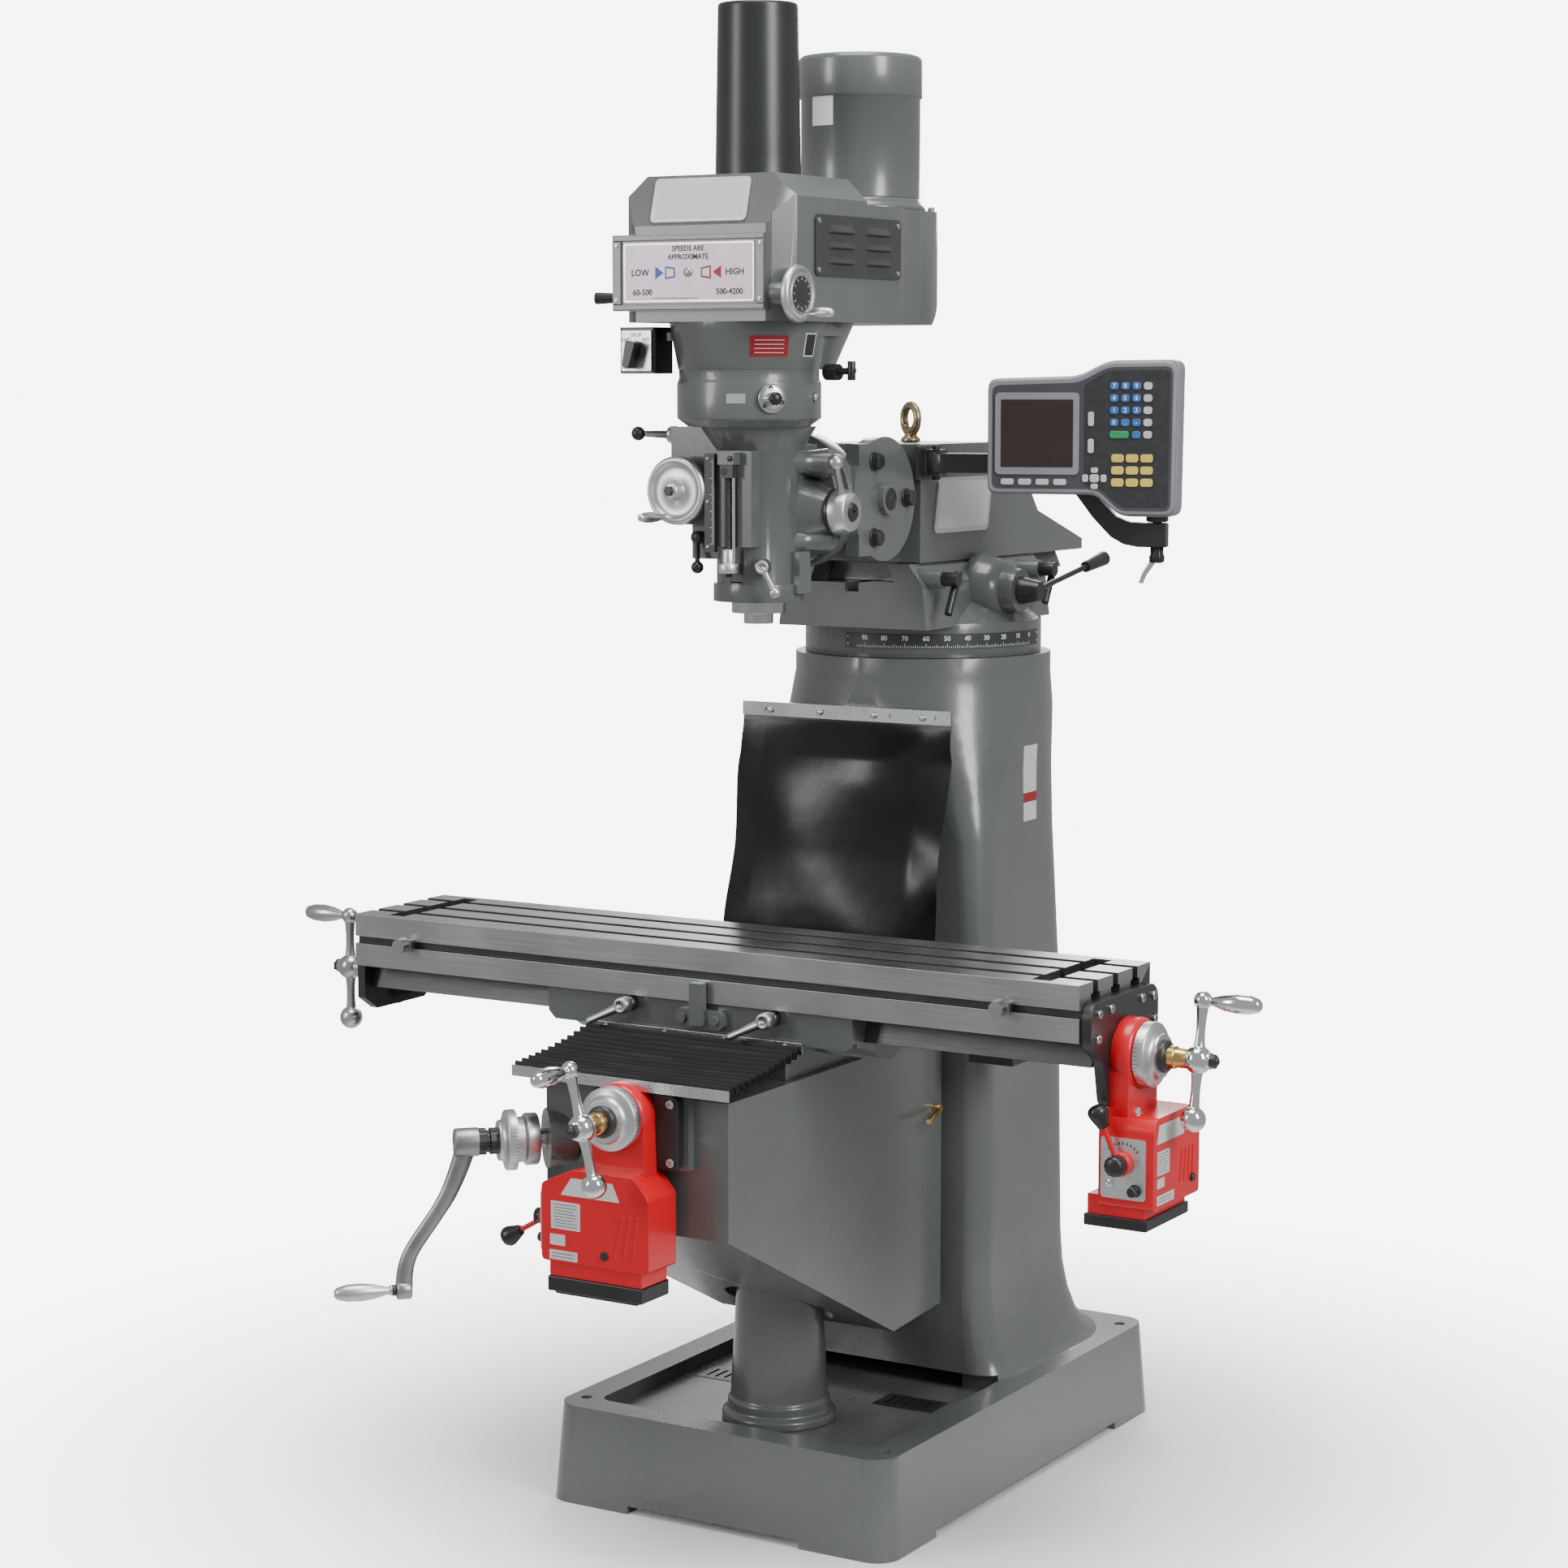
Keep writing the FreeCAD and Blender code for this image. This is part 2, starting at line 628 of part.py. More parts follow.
def dro_arm():
    """Square arm with a gooseneck, from the ram bracket out to the display."""
    x = ram_half + 24
    thick = 11
    path = [(0, 1601.5), (0, 1571.5), (150, 1571.5), (212, 1545), (262, 1498), (300, 1464),
            (362, 1462), (362, 1499), (322, 1499), (280, 1530), (232, 1580), (170, 1601.5)]
    shifted = [(-14, 1601.5), (-14, 1571.5)] + path[2:]
    bar = prism("XZ_Plane", shifted, -thick, thick)
    hinge = rod((0, 0, 1571.5), (0, 0, 1), 30, 14)
    bore = rod((0, 0, 1500), (0, 0, 1), 200, 6 + shaft_gap)
    post = rod((DRO_POST, 0, 1462), (0, 0, 1), 52, 7)
    clamp = rod((DRO_POST, 0, 1462), (0, 0, -1), 20, 9)
    hook = rod((DRO_POST, 0, 1444), (-0.55, 0, -0.84), 44, 5)
    whole = cut(fuse(bar, hinge, post, clamp, hook), bore)
    return keep("dro_arm", place(whole, (x, -7, 0), (0, 0, 1), DRO_TURN))


def dro_display():
    """The read-out case on its swivel post."""
    case = prism("XZ_Plane", [(-248, 1542), (-79, 1542), (-44, 1510), (42, 1510), (45, 1743),
                              (-63, 1742), (-108, 1719), (-248, 1715)], -76, -22, 8)
    foot = rod((0, 0, 1500), (0, 0, 1), 24, 17)
    web = box(-15, 15, -40, 0, 1511, 1524)
    bore = rod((0, 0, 1499), (0, 0, 1), 16, 7 + shaft_gap)
    whole = cut(fuse(case, foot, web), bore)
    angle = math.radians(DRO_TURN)
    at = (ram_half + 24 + DRO_POST * math.cos(angle), -7 + DRO_POST * math.sin(angle), 0)
    return keep("dro_display", place(whole, at, (0, 0, 1), DRO_TURN))


# ---------------------------------------------------------------- head
def ram_adapter():
    cheeks = [rod((x, nod_y, nod_z), (1, 0, 0), cheek_thick - 1, cheek_radius)
              for x in (-ram_half + 1, ram_half - cheek_thick)]
    webs = [box(x, x + cheek_thick - 1, swivel_face + 26, nod_y, nod_z - 84, nod_z + 84)
            for x in (-ram_half + 1, ram_half - cheek_thick)]
    face = swivel_face + joint_gap
    flange = rod((0, face, nod_z), (0, 1, 0), 36, swivel_radius + 10)
    pin = rod((-ram_half - 10, nod_y, nod_z), (1, 0, 0), ram_half * 2 + 20, pivot_radius)
    caps = [rod((x, nod_y, nod_z), (1, 0, 0), 10, pivot_radius - 2)
            for x in (-ram_half - 10, ram_half)]
    bolts = []
    for x in (-ram_half - 11, ram_half - 1):
        for turn in (0, 120, 240):
            y = nod_y + math.cos(math.radians(turn)) * 66
            z = nod_z + math.sin(math.radians(turn)) * 66
            bolts.append(rod((x, y, z), (1, 0, 0), 12, 10))
    stub = rod((0, swivel_face - 20, nod_z), (0, 1, 0), 22, 40)
    return keep("ram_adapter", fuse(*(cheeks + webs + [flange, pin, stub] + caps + bolts)))


def quill_housing():
    """The front casting: quill tube, swivel flange and the webs between them."""
    z0 = housing_bottom
    tube = rod((0, spindle_y, z0), (0, 0, 1), housing_top - z0, housing_radius)
    collar = rod((0, spindle_y, z0 - 4), (0, 0, 1), 26, housing_radius + 5)
    neck = rod((0, spindle_y, housing_top - 40), (0, 0, 1), 40, housing_radius, 86)
    flange = rod((0, swivel_face - 22, nod_z), (0, 1, 0), 22, swivel_radius)
    block = box(-58, 58, spindle_y, swivel_face - 20, nod_z - 84, nod_z + 84)
    apron = box(-120, -40, spindle_y - 52, spindle_y + 46, 1500, 1644)
    skirt = box(-86, -40, spindle_y - 48, spindle_y + 40, 1450, 1510)
    feed_boss = rod((40, spindle_y + 52, 1519), (1, 0, 0), 60, 30)
    lock_boss = rod((30, spindle_y - 38, 1442), (0.5, -0.86, 0), 34, 13)
    front_box = box(-34, 34, spindle_y - housing_radius - 14, spindle_y, 1470, 1610)
    solid = fuse(tube, collar, neck, flange, block, apron, skirt, feed_boss, lock_boss, front_box)
    bore = rod((0, spindle_y, z0 - 40), (0, 0, 1), 320, quill_radius + shaft_gap)
    slot = box(-11, 11, spindle_y - housing_radius - 20, spindle_y, z0 + 24, housing_top - 62)
    socket = rod((0, swivel_face + 1, nod_z), (0, -1, 0), 24, 40 + shaft_gap)
    shaft = rod((-20, spindle_y + 52, 1519), (1, 0, 0), 130, 8 + shaft_gap)
    return keep("quill_housing", cut(solid, bore, slot, socket, shaft))


def gear_housing():
    z0 = housing_top
    drum = turned([(0, 0), (90, 0), (gear_radius, 12), (gear_radius, 62), (gear_radius - 3, 70),
                   (gear_radius - 3, gear_top - z0), (0, gear_top - z0)], (0, gear_y, z0))
    rise = cone_top - gear_top
    front = rod((0, gear_y, gear_top), (0, 0, 1), rise, gear_radius - 2, cone_top_radius)
    rear = rod((0, cone_back_y, gear_top), (0, 0, 1), rise, cone_top_radius - 30, cone_top_radius)
    middle = box(-cone_top_radius + 4, cone_top_radius - 4, gear_y, cone_back_y,
                 cone_top - 20, cone_top)
    hollow = rod((0, spindle_y, z0 - 1), (0, 0, 1), cone_top - z0 - 15, quill_radius + 6)
    through = rod((0, spindle_y, z0 - 1), (0, 0, 1), cone_top - z0 + 3, 26)
    body = fuse(drum, front, rear, middle)
    return keep("gear_housing", cut(body, hollow, through))


def belt_housing():
    """The long cover over the variable-speed belt, with the motor's foot at its back."""
    z0 = cone_top
    rear = motor_y + motor_foot_radius
    foot = motor_foot_radius
    plan = [(belt_left + 20, belt_front), (100, belt_front), (belt_right, belt_front + 34),
            (belt_right, -124), (foot, -96), (foot, motor_y - 14), (-foot, motor_y - 14),
            (-foot, -140),
            (belt_left, -230), (belt_left, belt_front + 16)]
    body = fuse(prism("XY_Plane", plan, z0, belt_top, 12),
                rod((0, motor_y, z0), (0, 0, 1), belt_top - z0, foot))
    lowered = box(-200, 200, -226, rear + 20, belt_top - 38, belt_top + 5)
    shoulder = 34
    wedges = [prism("XZ_Plane", [(x, belt_top - shoulder), (x, belt_top + 1),
                                 (inner, belt_top + 1)], belt_front - 5, -200)
              for x, inner in ((belt_left - 1, belt_left + shoulder),
                               (belt_right + 1, belt_right - shoulder))]
    front_slope = prism("YZ_Plane", [(belt_front - 1, 1930), (belt_front + 20, belt_top + 1),
                                     (belt_front - 1, belt_top + 1)], belt_left - 5, belt_right + 5)
    undercut = prism("YZ_Plane", [(rear - 105, z0 - 1), (rear + 1, z0 + 84), (rear + 1, z0 - 1)],
                     -foot - 5, foot + 5)
    wall = belt_wall
    inner = [(belt_left + 30, belt_front + wall), (90, belt_front + wall),
             (belt_right - wall, belt_front + 40), (belt_right - wall, -130), (foot - wall, -102),
             (foot - wall, motor_y), (-foot + wall, motor_y), (-foot + wall, -140),
             (belt_left + wall, -230), (belt_left + wall, belt_front + 30)]
    room = prism("XY_Plane", inner, z0 + wall, belt_top - 88)
    frame = box(belt_left - 8, 102, belt_front - 12, belt_front + 4, 1812, 1921)
    wheel_boss = rod((90, belt_front + 10, 1834), (1, 0, 0), belt_right - 88, 17)
    spindle_hole = rod((0, spindle_y, z0 - 1), (0, 0, 1), belt_top - z0 + 3, 24)
    motor_hole = rod((0, motor_y, belt_top - 100), (0, 0, 1), 80, 30)
    solid = fuse(cut(body, lowered, front_slope, undercut, *wedges), frame, wheel_boss)
    return keep("belt_housing", cut(solid, room, spindle_hole, motor_hole))


def front_plates():
    """The speed chart plate and the blank name plate above it."""
    low = box(belt_left + 12, 84, belt_front - 14, belt_front - 12, 1824, 1909)
    face = belt_front - 1.05
    slope = 21 / (belt_top.value + 1 - 1930)
    foot_z, head_z = 1938, 2001
    high = prism("YZ_Plane", [(face + slope * (foot_z - 1930), foot_z),
                              (face + slope * (head_z - 1930), head_z),
                              (face + slope * (head_z - 1930) - 2.5, head_z + 0.7),
                              (face + slope * (foot_z - 1930) - 2.5, foot_z + 0.7)], -100, 62)
    return keep("front_plates", group(low, high))


def vent_plate():
    face = belt_right
    plate = box(face, face + 3, -379, -128, 1861, 1949)
    louvres = [box(face + 2, face + 7, y, y + 76, z, z + 9)
               for y in (-343, -236) for z in (1880, 1902, 1924)]
    return keep("vent_plate", fuse(plate, *louvres))


def drive_motor():
    z0 = belt_top - 38
    body = turned([(0, 0), (motor_radius + 8, 0), (motor_radius + 8, 10), (motor_radius, 14),
                   (motor_radius, motor_top - z0 - 62), (motor_radius + 3, motor_top - z0 - 60),
                   (motor_radius + 3, motor_top - z0 - 6), (motor_radius - 3, motor_top - z0),
                   (0, motor_top - z0)], (0, motor_y, z0))
    room = rod((0, motor_y, z0 + 18), (0, 0, 1), motor_top - z0 - 40, motor_radius - 30)
    return keep("drive_motor", cut(body, room))


def drawbar_cover():
    z0 = belt_top
    outer = rod((0, spindle_y, z0), (0, 0, 1), tube_top - z0, tube_radius, tube_top_radius)
    inner = rod((0, spindle_y, z0 - 1), (0, 0, 1), tube_top - z0 - tube_wall + 1,
                tube_radius - tube_wall, tube_top_radius - tube_wall)
    return keep("drawbar_cover", cut(outer, inner))


def switch_box():
    case = prism("XY_Plane", [(-186, -410), (-122, -410), (-122, -360), (-186, -360)],
                 1722, 1790, 5)
    arm = box(-130, -80, -392, -372, 1770, 1782)
    plate = box(-180, -128, -412, -410, 1730, 1784)
    trim = rod((0, gear_y, 1700), (0, 0, 1), 120, cone_top_radius + 1)
    return keep("switch_box", cut(fuse(case, arm, plate), trim))


def switch_knob():
    at = (-154, -412 - joint_gap, 1754)
    hub = rod(at, (0, -1, 0), 16, 14)
    grip = box(-157, -151, -412 - 24, -412 - 12, 1740, 1768)
    return keep("switch_knob", fuse(hub, grip))


def speed_handwheel():
    x = belt_right + 2 + joint_gap
    y, z = belt_front + 10, 1834
    rim = turned([(0, 0), (14, 0), (16, 3), (38, 3), (41, 5), (41, 15), (38, 17), (0, 17)],
                 (x, y, z), (1, 0, 0))
    grip = rod((x + 16, y + 14, z - 27), (1, 0, 0), 44, 6, 8)
    return keep("speed_handwheel", fuse(rim, grip))


def brake_lever():
    x = belt_left - 3
    y = belt_front + 26
    pivot = rod((x, y, 1825), (0, 0, 1), 14, 2.4)
    arm = rod((x, y, 1832), (-1, 0, 0), 26, 5)
    grip = rod((x - 20, y, 1832), (-1, -0.15, 0), 36, 7, 9)
    return keep("brake_lever", fuse(pivot, arm, grip))


def range_lever():
    x = cone_top_radius - 6 + joint_gap
    hub = rod((x, spindle_y + 10, 1724), (1, -0.2, 0), 22, 12)
    bar = rod((x + 8, spindle_y + 9, 1724), (1, -0.2, 0.05), 44, 5)
    knob = rod((x + 46, spindle_y + 1, 1712), (0, 0, 1), 28, 6)
    return keep("range_lever", fuse(hub, bar, knob))


def feed_selector():
    turn = math.radians(49)
    out = (math.sin(turn), -math.cos(turn), 0)
    reach = gear_radius + joint_gap
    at = (reach * out[0], gear_y + reach * out[1], 1686)
    disc = rod(at, out, 10, 21)
    knob = rod(at, out, 26, 9)
    return keep("feed_selector", fuse(disc, knob))


def feed_engage_lever():
    x = -120 - joint_gap
    parts = [rod((x, spindle_y - 36, 1632), (-1, 0, 0), 12, 12)]
    parts += ball_lever((x - 8, spindle_y - 38, 1632), (-0.6, -0.8, 0.04), 54, 4.5, 10)
    return keep("feed_engage_lever", fuse(*parts))


def fine_feed_handwheel():
    y = spindle_y - 52 - joint_gap
    x, z = -91, 1551
    wheel = turned([(0, 0), (10, 0), (10, 18), (20, 22), (35, 26), (41, 20), (49, 22), (51, 30),
                    (48, 38), (40, 38), (34, 34), (14, 34), (12, 48), (0, 50)], (x, y, z), (0, -1, 0))
    grip = rod((x - 16, y - 34, z - 38), (0, -1, 0), 72, 5.5, 8)
    return keep("fine_feed_handwheel", fuse(wheel, grip))


def feed_trip_lever():
    start = (-72, spindle_y - 48 - joint_gap, 1482)
    hub = rod(start, (0, -1, 0), 14, 9)
    parts = ball_lever((-72, spindle_y - 56, 1482), (0.16, -0.25, -0.9), 46, 4, 9)
    return keep("feed_trip_lever", fuse(hub, *parts))


def quill_lock_lever():
    start = (47.5, spindle_y - 68, 1442)
    hub = rod(start, (0.5, -0.86, 0), 18, 10)
    parts = ball_lever((52, spindle_y - 77, 1442), (0.45, 0.1, -0.85), 42, 5, 8)
    return keep("quill_lock_lever", fuse(hub, *parts))


def quill_feed_lever():
    start = 100 + joint_gap
    y = spindle_y + 52
    shaft = rod((-12, y, 1519), (1, 0, 0), start + 12, 8)
    hub = turned([(0, 0), (34, 0), (34, 14), (28, 18), (28, 30), (16, 33), (0, 33)],
                 (start, y, 1519), (1, 0, 0))
    parts = ball_lever((start + 20, y, 1519), (0.05, -0.42, 0.9), 84, 6, 11)
    return keep("quill_feed_lever", fuse(shaft, hub, *parts))


def quill_stop_screw():
    y = spindle_y - housing_radius - 22
    screw = rod((0, y, 1424), (0, 0, 1), 176, 6)
    nuts = rod((0, y, 1436), (0, 0, 1), 22, 13)
    lugs = [box(-10, 10, y - 6, spindle_y - housing_radius - 14, z, z + 12) for z in (1588,)]
    scale = box(-37, -25, y - 1, spindle_y - housing_radius - 14, 1474, 1606)
    return keep("quill_stop_screw", group(fuse(screw, nuts, *lugs), scale))


def head_lock_nuts():
    nuts = []
    for x in (-68.5, 68.5):
        for z in (nod_z - 55, nod_z + 55):
            nuts.append(rod((x, swivel_face - 40, z), (0, 1, 0), 18, 9))
    return nuts


def quill():
    z0 = quill_bottom
    body = turned([(0, 0), (quill_radius - 3, 0), (quill_radius - 3, 20), (quill_radius, 22),
                   (quill_radius, quill_top - z0), (0, quill_top - z0)], (0, spindle_y, z0))
    bore = rod((0, spindle_y, z0 - 1), (0, 0, 1), quill_top - z0 + 2, nose_radius + 4)
    return keep("quill", cut(body, bore))


def spindle():
    z0 = nose_bottom
    top = quill_top - z0 + 20
    body = turned([(0, 0), (nose_radius, 0), (nose_radius, 14), (nose_radius + 4 - shaft_gap, 18),
                   (nose_radius + 4 - shaft_gap, quill_top - z0 + 1), (18, quill_top - z0 + 4),
                   (18, top), (0, top)], (0, spindle_y, z0))
    taper = rod((0, spindle_y, z0 - 1), (0, 0, 1), collet_depth + 1, collet_radius)
    drawbar = rod((0, spindle_y, z0 - 2), (0, 0, 1), top + 4, drawbar_radius)
    return keep("spindle", cut(body, taper, drawbar))


# ---------------------------------------------------------------- knee
def knee_casting():
    back = way_face - slide_gap
    side = prism("YZ_Plane", [(knee_front, knee_top), (knee_front, knee_nose_bottom),
                              (knee_slope_end, knee_rear_bottom), (back, knee_rear_bottom + 10),
                              (back, knee_top)], -knee_half, knee_half, 0)
    foot = knee_way_half
    top = knee_top + knee_way_height
    ways = prism("XZ_Plane", [(-foot, knee_top - 4), (foot, knee_top - 4),
                              (foot + knee_way_flare, top), (-foot - knee_way_flare, top)],
                 knee_front + 6, back)
    boss = rod((-knee_half + 26, knee_front + 30, 620), (-0.7071, -0.7071, 0), 40, 48, 44)
    pad = box(-80, 98, knee_front - 14, knee_front + 2, 604, 716)
    solid = fuse(side, ways, boss, pad)
    tail = dovetail_half + dovetail_flare
    deep = way_face - dovetail_deep - slide_gap
    gap = slide_gap
    groove = prism("XY_Plane", [(-tail - gap * 2, deep), (tail + gap * 2, deep),
                                (dovetail_half + gap * 2, way_face + 10),
                                (-dovetail_half - gap * 2, way_face + 10)],
                   knee_rear_bottom - 5, knee_top + knee_way_height + 5)
    wall = knee_wall
    room = prism("YZ_Plane", [(knee_front + wall + 10, knee_top - wall - 20),
                              (knee_front + wall + 10, knee_nose_bottom + wall),
                              (knee_slope_end - 4, knee_rear_bottom + wall + 12),
                              (deep - wall, knee_rear_bottom + wall + 12),
                              (deep - wall, knee_top - wall - 20)],
                 -knee_half + wall, knee_half - wall)
    mouth = rod((0, pedestal_y, 200), (0, 0, 1), 240, pedestal_foot_radius + 8)
    wells = cut(solid, groove, room, mouth)
    crank_bore = rod((-knee_half + 40, knee_front + 44, 620), (-0.7071, -0.7071, 0), 90,
                     14 + shaft_gap)
    screw_bore = rod((y_screw_x, knee_front - 20, y_screw_z), (0, 1, 0), 220, lead_radius + shaft_gap)
    tie = box(-knee_half + 2, knee_half - 2, pedestal_y - 40, pedestal_y + 40, 520, 540)
    whole = fuse(wells, tie)
    stub_room = rod((0, pedestal_y, 500), (0, 0, 1), 60, screw_radius + shaft_gap)
    return keep("knee_casting", cut(whole, crank_bore, screw_bore, stub_room))


def knee_gib_lock():
    """Brass clamp stud with its bent steel lever, on the knee's right side."""
    stud = rod((knee_half, -52, 588), (1, 0, 0), 12, 7)
    arm = rod((knee_half + 8, -52, 588), (0.25, -0.92, -0.1), 66, 4)
    return keep("knee_gib_lock", fuse(stud, arm))


def elevating_screw():
    low = foot_gap + base_wall + 4
    screw = rod((0, pedestal_y, low), (0, 0, 1), 565 - low, screw_radius)
    gear = rod((0, pedestal_y, 540 + joint_gap), (0, 0, 1), 24, 50)
    return keep("elevating_screw", fuse(screw, gear))


def knee_crank():
    """Dial, clutch and dog-leg arm; built along +X then turned to the shaft's direction."""
    start = 46
    shaft = rod((-30, 0, 0), (1, 0, 0), start + 40, 14)
    dial = turned([(0, 0), (40, 0), (44, 4), (44, 14), (30, 18), (30, 26), (0, 26)],
                  (start - 4, 0, 0), (1, 0, 0))
    clutch = rod((start + 20, 0, 0), (1, 0, 0), 30, 20)
    hub = rod((start + 48, 0, 0), (1, 0, 0), 36, 21)
    arm = prism("XZ_Plane", [(start + 56, 12), (start + 76, 12), (start + 84, -14),
                             (start + 104, -70), (start + 150, -140), (start + 168, -176),
                             (start + 170, -222), (start + 148, -222), (start + 146, -182),
                             (start + 130, -150), (start + 84, -82), (start + 62, -16)], -13, 13)
    grip = turned([(0, 0), (9, 0), (9, 6), (6, 10), (13, 44), (13, 62), (6, 92), (0, 96)],
                  (start + 160, 0, -212), (1, 0, 0))
    whole = fuse(shaft, dial, clutch, hub, arm, grip)
    return keep("knee_crank", place(whole, (-knee_half + 26, knee_front + 30, 620), (0, 0, 1), 225))


def y_feed_unit():
    """Bracket, bearing housing, gearbox and control base of the cross-feed drive."""
    front = knee_front - 14
    bracket = prism("XZ_Plane", [(-56, 606), (90, 606), (90, 714), (-56, 714)], front - 16, front, 10)
    neck = rod((y_screw_x, front - 16, y_screw_z), (0, -1, 0), 34, 47)
    stem = box(-45, 59, front - 50, front - 16, 590, y_screw_z)
    case = prism("XZ_Plane", [(-104, 468), (78, 468), (78, 575), (52, 604), (-50, 604), (-104, 580)],
                 front - 74, front - 2, 5)
    skirt = box(-90, 62, front - 70, front - 6, 440, 470)
    base = box(-94, 66, front - 74, front - 2, 424, 442)
    side = box(-112, -103, front - 66, front - 10, 480, 566)
    bore = rod((y_screw_x, front - 60, y_screw_z), (0, 1, 0), 70, lead_radius + shaft_gap)
    return keep("y_feed_unit", cut(fuse(bracket, neck, stem, case, skirt, base, side), bore))


def y_feed_lever():
    x = -112 - joint_gap
    hub = rod((x, knee_front - 50, 520), (-1, 0, 0), 16, 14)
    parts = pear_lever((x - 10, knee_front - 50, 520), (-0.84, -0.12, -0.50), 62, 4, 15)
    knob = rod((x - 16, knee_front - 50, 520), (-1, 0, 0), 10, 11)
    return keep("y_feed_lever", fuse(hub, knob, *parts))


def ball_crank(reach):
    """Dial, brass sleeve and ball crank along +X, to be turned to the shaft's direction."""
    dial = turned([(0, 0), (dial_radius, 0), (dial_radius, 16), (30, 20), (30, 28), (14, 30),
                   (0, 30)], (0, 0, 0), (1, 0, 0))
    sleeve = rod((28, 0, 0), (1, 0, 0), reach - 28, 14)
    hub = ball((reach, 0, 0), 20)
    nut = rod((reach, 0, 0), (1, 0, 0), 30, 10)
    arm = rod((reach, 0, -ball_arm), (0, 0, 1), ball_arm * 2, 8, 7)
    low = ball((reach, 0, -ball_arm), 18)
    high = ball((reach, 0, ball_arm), 13)
    grip = turned([(0, 0), (7, 0), (8, 12), (14, 42), (13, 60), (7, 76), (0, 79)],
                  (reach + 8, 0, ball_arm), (1, 0, 0))
    return [dial, sleeve, hub, nut, arm, low, high, grip]


def y_screw_crank():
    front = knee_front - 14 - 16 - 34 - joint_gap
    pieces = ball_crank(80)
    shaft = rod((-150, 0, 0), (1, 0, 0), 152, lead_radius)
    whole = fuse(shaft, *pieces)
    whole.Placement = FreeCAD.Placement(FreeCAD.Vector(), FreeCAD.Rotation(FreeCAD.Vector(1, 0, 0), 14))
    outer = group(whole)
    return keep("y_screw_crank", place(outer, (y_screw_x, front, y_screw_z), (0, 0, 1), -90))


# ---------------------------------------------------------------- saddle and table
def saddle_casting():
    low = knee_top + slide_gap
    top = table_top - table_thick - slide_gap
    nut_reach = 35
    body = box(saddle_left, saddle_right, saddle_front + 14, saddle_back, 765, top)
    apron = prism("XZ_Plane", [(saddle_left, 774), (saddle_left + 12, 762), (saddle_right - 12, 762),
                               (saddle_right, 774), (saddle_right, top), (saddle_left, top)],
                  saddle_front, saddle_front + 16)
    lobe = rod((saddle_left, table_y, screw_z + 4), (1, 0, 0), saddle_right - saddle_left, 54)
    half = knee_way_half + knee_way_flare + 42
    clamp = box(-half, half, saddle_front + 16, saddle_back, low, 770)
    foot = knee_way_half + slide_gap
    flare = knee_way_flare
    groove = prism("XZ_Plane", [(-foot, knee_top - 4), (foot, knee_top - 4),
                                (foot + flare + slide_gap, knee_top + knee_way_height + slide_gap),
                                (-foot - flare - slide_gap, knee_top + knee_way_height + slide_gap)],
                   saddle_front - 20, saddle_back + 80)
    tail = table_foot_half + slide_gap
    deep = table_top - table_thick - table_foot - slide_gap
    slot = prism("YZ_Plane", [(table_y - tail - 12, deep), (table_y + tail + 12, deep),
                              (table_y + tail, top + 5), (table_y - tail, top + 5)],
                 saddle_left - 5, saddle_right + 5)
    trough = rod((saddle_left - 5, table_y, screw_z), (1, 0, 0),
                 saddle_right - saddle_left + 10, lead_radius + 11)
    nut = fuse(rod((-nut_reach, table_y, screw_z), (1, 0, 0), nut_reach * 2, lead_radius + 4),
               box(-nut_reach, nut_reach, table_y - 13, table_y + 13, 748, screw_z))
    nut_bore = rod((-nut_reach - 1, table_y, screw_z), (1, 0, 0), nut_reach * 2 + 2, lead_radius + shaft_gap)
    solid = fuse(body, apron, cut(lobe, box(-500, 500, -600, 0, top, 900)), clamp)
    return keep("saddle_casting", cut(fuse(cut(solid, groove, slot, trough), nut), nut_bore))


def table_lock_lever(name, x):
    start = saddle_front - joint_gap
    hub = rod((x, start, 799), (0, -1, 0), 34, 11)
    arm = rod((x, start - 26, 799), (-0.86, -0.15, -0.42), 62, 6, 4.5)
    return keep(name, fuse(hub, arm))


def table_stop_bracket():
    front = saddle_front
    plate = prism("XZ_Plane", [(-28, 774), (52, 774), (52, 802), (-28, 802)], front - 14, front, 8)
    post = box(2, 22, front - 24, front - 8, 780, 842)
    screws = [rod((x, front - 14, 788), (0, -1, 0), 4, 7) for x in (-16, 40)]
    return keep("table_stop_bracket", fuse(plate, post, *screws))


def bellows_cover():
    """Pleated way cover from the saddle apron out over the knee's front."""
    pleats = 11
    spots_top = []
    spots_low = []
    for index in range(pleats * 2 + 1):
        share = index / (pleats * 2)
        y = saddle_front - 2 - 204 * share
        z = 762 - 28 * share
        lift = 6 if index % 2 else 0
        spots_top.append((y, z + lift))
        spots_low.append((y, z + lift - 4))
    return keep("bellows_cover", prism("YZ_Plane", spots_top + spots_low[::-1], -186, 184))


